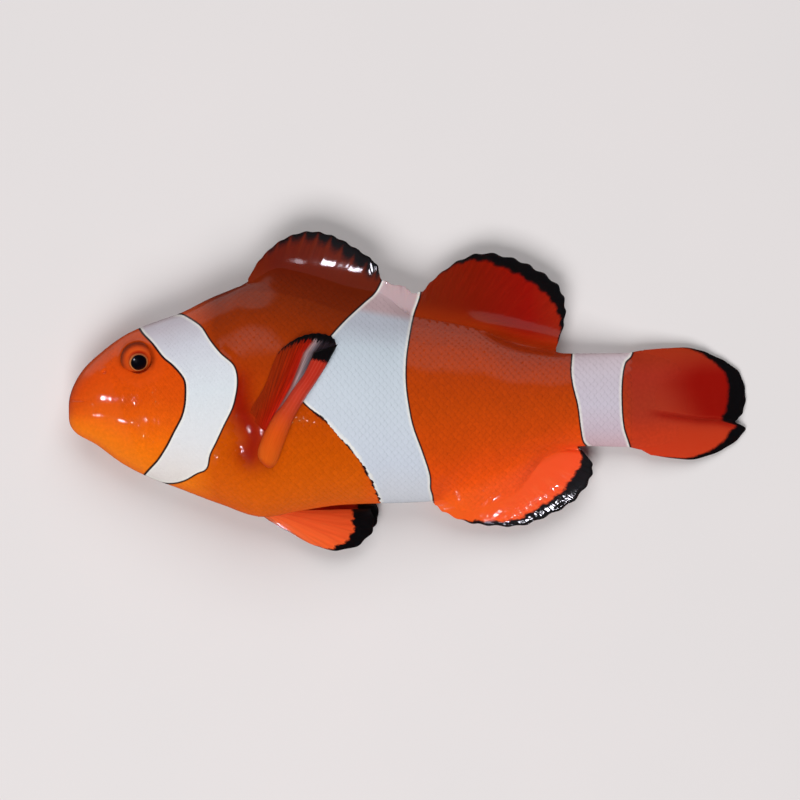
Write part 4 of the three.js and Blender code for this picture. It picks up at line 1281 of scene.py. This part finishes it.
# far cards with soft edges, which the film on the flank mirrors as a pale sheen. Each spans angles
# from straight up, and angles round from the back's side towards the tail, in degrees.
CARD_DISTANCE = 1500
for name, sheen, (high, low), (left, right), fade, pieces in (
    ("card_shoulder", 1.0, (22, 54), (-46, 7), 0.35, [scales[0]]),
    ("card_nape", 0.65, (76, 124), (-62, 8), 0.16, [skin, scales[0], scales[2]]),
    ("card_loin", 0.75, (36, 112), (2, 62), 0.16, [scales[1], soft_fin]),
):
    down, round_ = math.radians((high + low) / 2), math.radians((left + right) / 2)
    flat = CARD_DISTANCE * math.sin(down)
    place = [flat * math.sin(round_), flat * math.cos(round_), CARD_DISTANCE * math.cos(down)]
    wide = 2 * flat * math.tan(math.radians((right - left) / 2))
    tall = 2 * CARD_DISTANCE * math.tan(math.radians((low - high) / 2))
    card = lamp(name, place, (wide, tall), sheen * math.pi * wide * tall * MM**2)
    only_mirrored(card, pieces)
    card.data.use_nodes = True
    tree = card.data.node_tree
    tree.nodes.clear()
    across_card = add(tree, "NewGeometry", out="Parametric")
    strength = 1
    for axis in ("X", "Y"):
        along = add(tree, "SeparateXYZ", [across_card], out=axis)
        off = add(tree, "Math", [along, 0.5], operation="SUBTRACT")
        off = add(tree, "Math", [off], operation="ABSOLUTE")
        soft = add(tree, "MapRange", [off, 0.5, 0.5 - fade], interpolation_type="SMOOTHSTEP")
        strength = add(tree, "Math", [soft, strength], operation="MULTIPLY")
    glow = add(tree, "Emission", {"Strength": strength})
    add(tree, "OutputLight", {"Surface": glow})

LAMP_DISTANCE = 380
CAMERA_AT = np.array([-1.08, -0.9, 505])
AIM_REACH = 0.4
UPPER_SIDE = 0.2


def mirrored(pieces, x, y):
    """The highest of some pieces at x and y, the place there, and where a lamp has to be for the wet
    film to mirror it to the camera. The place is on the upper side, and as high as it can be."""
    top, best, lamp_place = None, np.array([x, y, -1.0]), None
    for piece in pieces:
        mesh = piece.data
        co, normal = (np.empty(len(mesh.vertices) * 3, np.float32) for _ in range(2))
        mesh.vertices.foreach_get("co", co)
        mesh.vertices.foreach_get("normal", normal)
        if "film" in mesh.attributes:
            mesh.attributes["film"].data.foreach_get("vector", normal)
        co, normal = co.reshape(-1, 3) / MM, normal.reshape(-1, 3)
        off = np.hypot(co[:, 0] - x, co[:, 1] - y) + 50 * (normal[:, 2] < UPPER_SIDE) - 0.02 * co[:, 2]
        k = int(np.argmin(off))
        if off[k] < AIM_REACH and co[k, 2] > best[2]:
            up = normal[k].astype(float) / np.linalg.norm(normal[k])
            top, best = piece, co[k]
            seen = (CAMERA_AT - best) / np.linalg.norm(CAMERA_AT - best)
            lamp_place = best + LAMP_DISTANCE * (2 * (up @ seen) * up - seen)
    return top, best, lamp_place


# small bright lamps, each placed for one highlight
face, breast, rump = [skin, scales[2]], [skin, scales[0]], [skin, scales[1], anal_fin]
for k, (pieces, x, y, wide, tall, radiance) in enumerate((
    (face, -34.8, -0.8, 16, 14, 150), (face, -33, -3.5, 7, 20, 110), (face, -31.25, -3.25, 10, 10, 150),
    (breast, -18.9, -4.4, 12, 12, 220), (breast, -20.1, -6.8, 18, 18, 200),
    ([eyes["left"]], -32.7, 3.9, 22, 22, 140),
    (rump, 7.9, -11.8, 7, 14, 130), (rump, 6.1, -14, 12, 18, 160), (rump, 10, -15.2, 16, 14, 180),
    (rump, 13.2, -14.6, 16, 14, 180), (rump, 18.6, -13.2, 32, 20, 200),
    ([belly_fins[0]], -15.4, -16, 8, 8, 90), ([belly_fins[0]], -12.7, -17.6, 8, 8, 90),
    ([spiny_fin], -13.4, 15.75, 18, 40, 14), ([spiny_fin], -10, 15.45, 22, 40, 90),
    ([spiny_fin], -6.2, 14.75, 12, 40, 90),
)):
    top, spot, place = mirrored(pieces, x, y)
    spark = lamp(f"spark_{k}", place, (wide, tall), radiance * math.pi * wide * tall * MM**2 * math.pi / 4,
                 aim=spot, shape="ELLIPSE", colour="#f4f0ff")
    only_mirrored(spark, [top])

world = bpy.data.worlds.new("studio")
bpy.context.scene.world = world
world.use_nodes = True
world.node_tree.nodes.clear()
air = add(world.node_tree, "Background", {"Color": "#e8eaee", "Strength": 0.03})
add(world.node_tree, "OutputWorld", {"Surface": air})
bpy.context.scene.view_settings.view_transform = "Standard"

VIEW_WIDTH = 96
VIEW_HEIGHT = 5
SENSOR_WIDTH = 36
lens = bpy.data.cameras.new("camera")
lens.sensor_width = SENSOR_WIDTH
lens.lens = SENSOR_WIDTH * (CAMERA_AT[2] - VIEW_HEIGHT) / VIEW_WIDTH
lens.clip_start, lens.clip_end = 0.02, 10
camera = bpy.data.objects.new("camera", lens)
bpy.context.scene.collection.objects.link(camera)
camera.location = [c * MM for c in CAMERA_AT]
bpy.context.scene.camera = camera
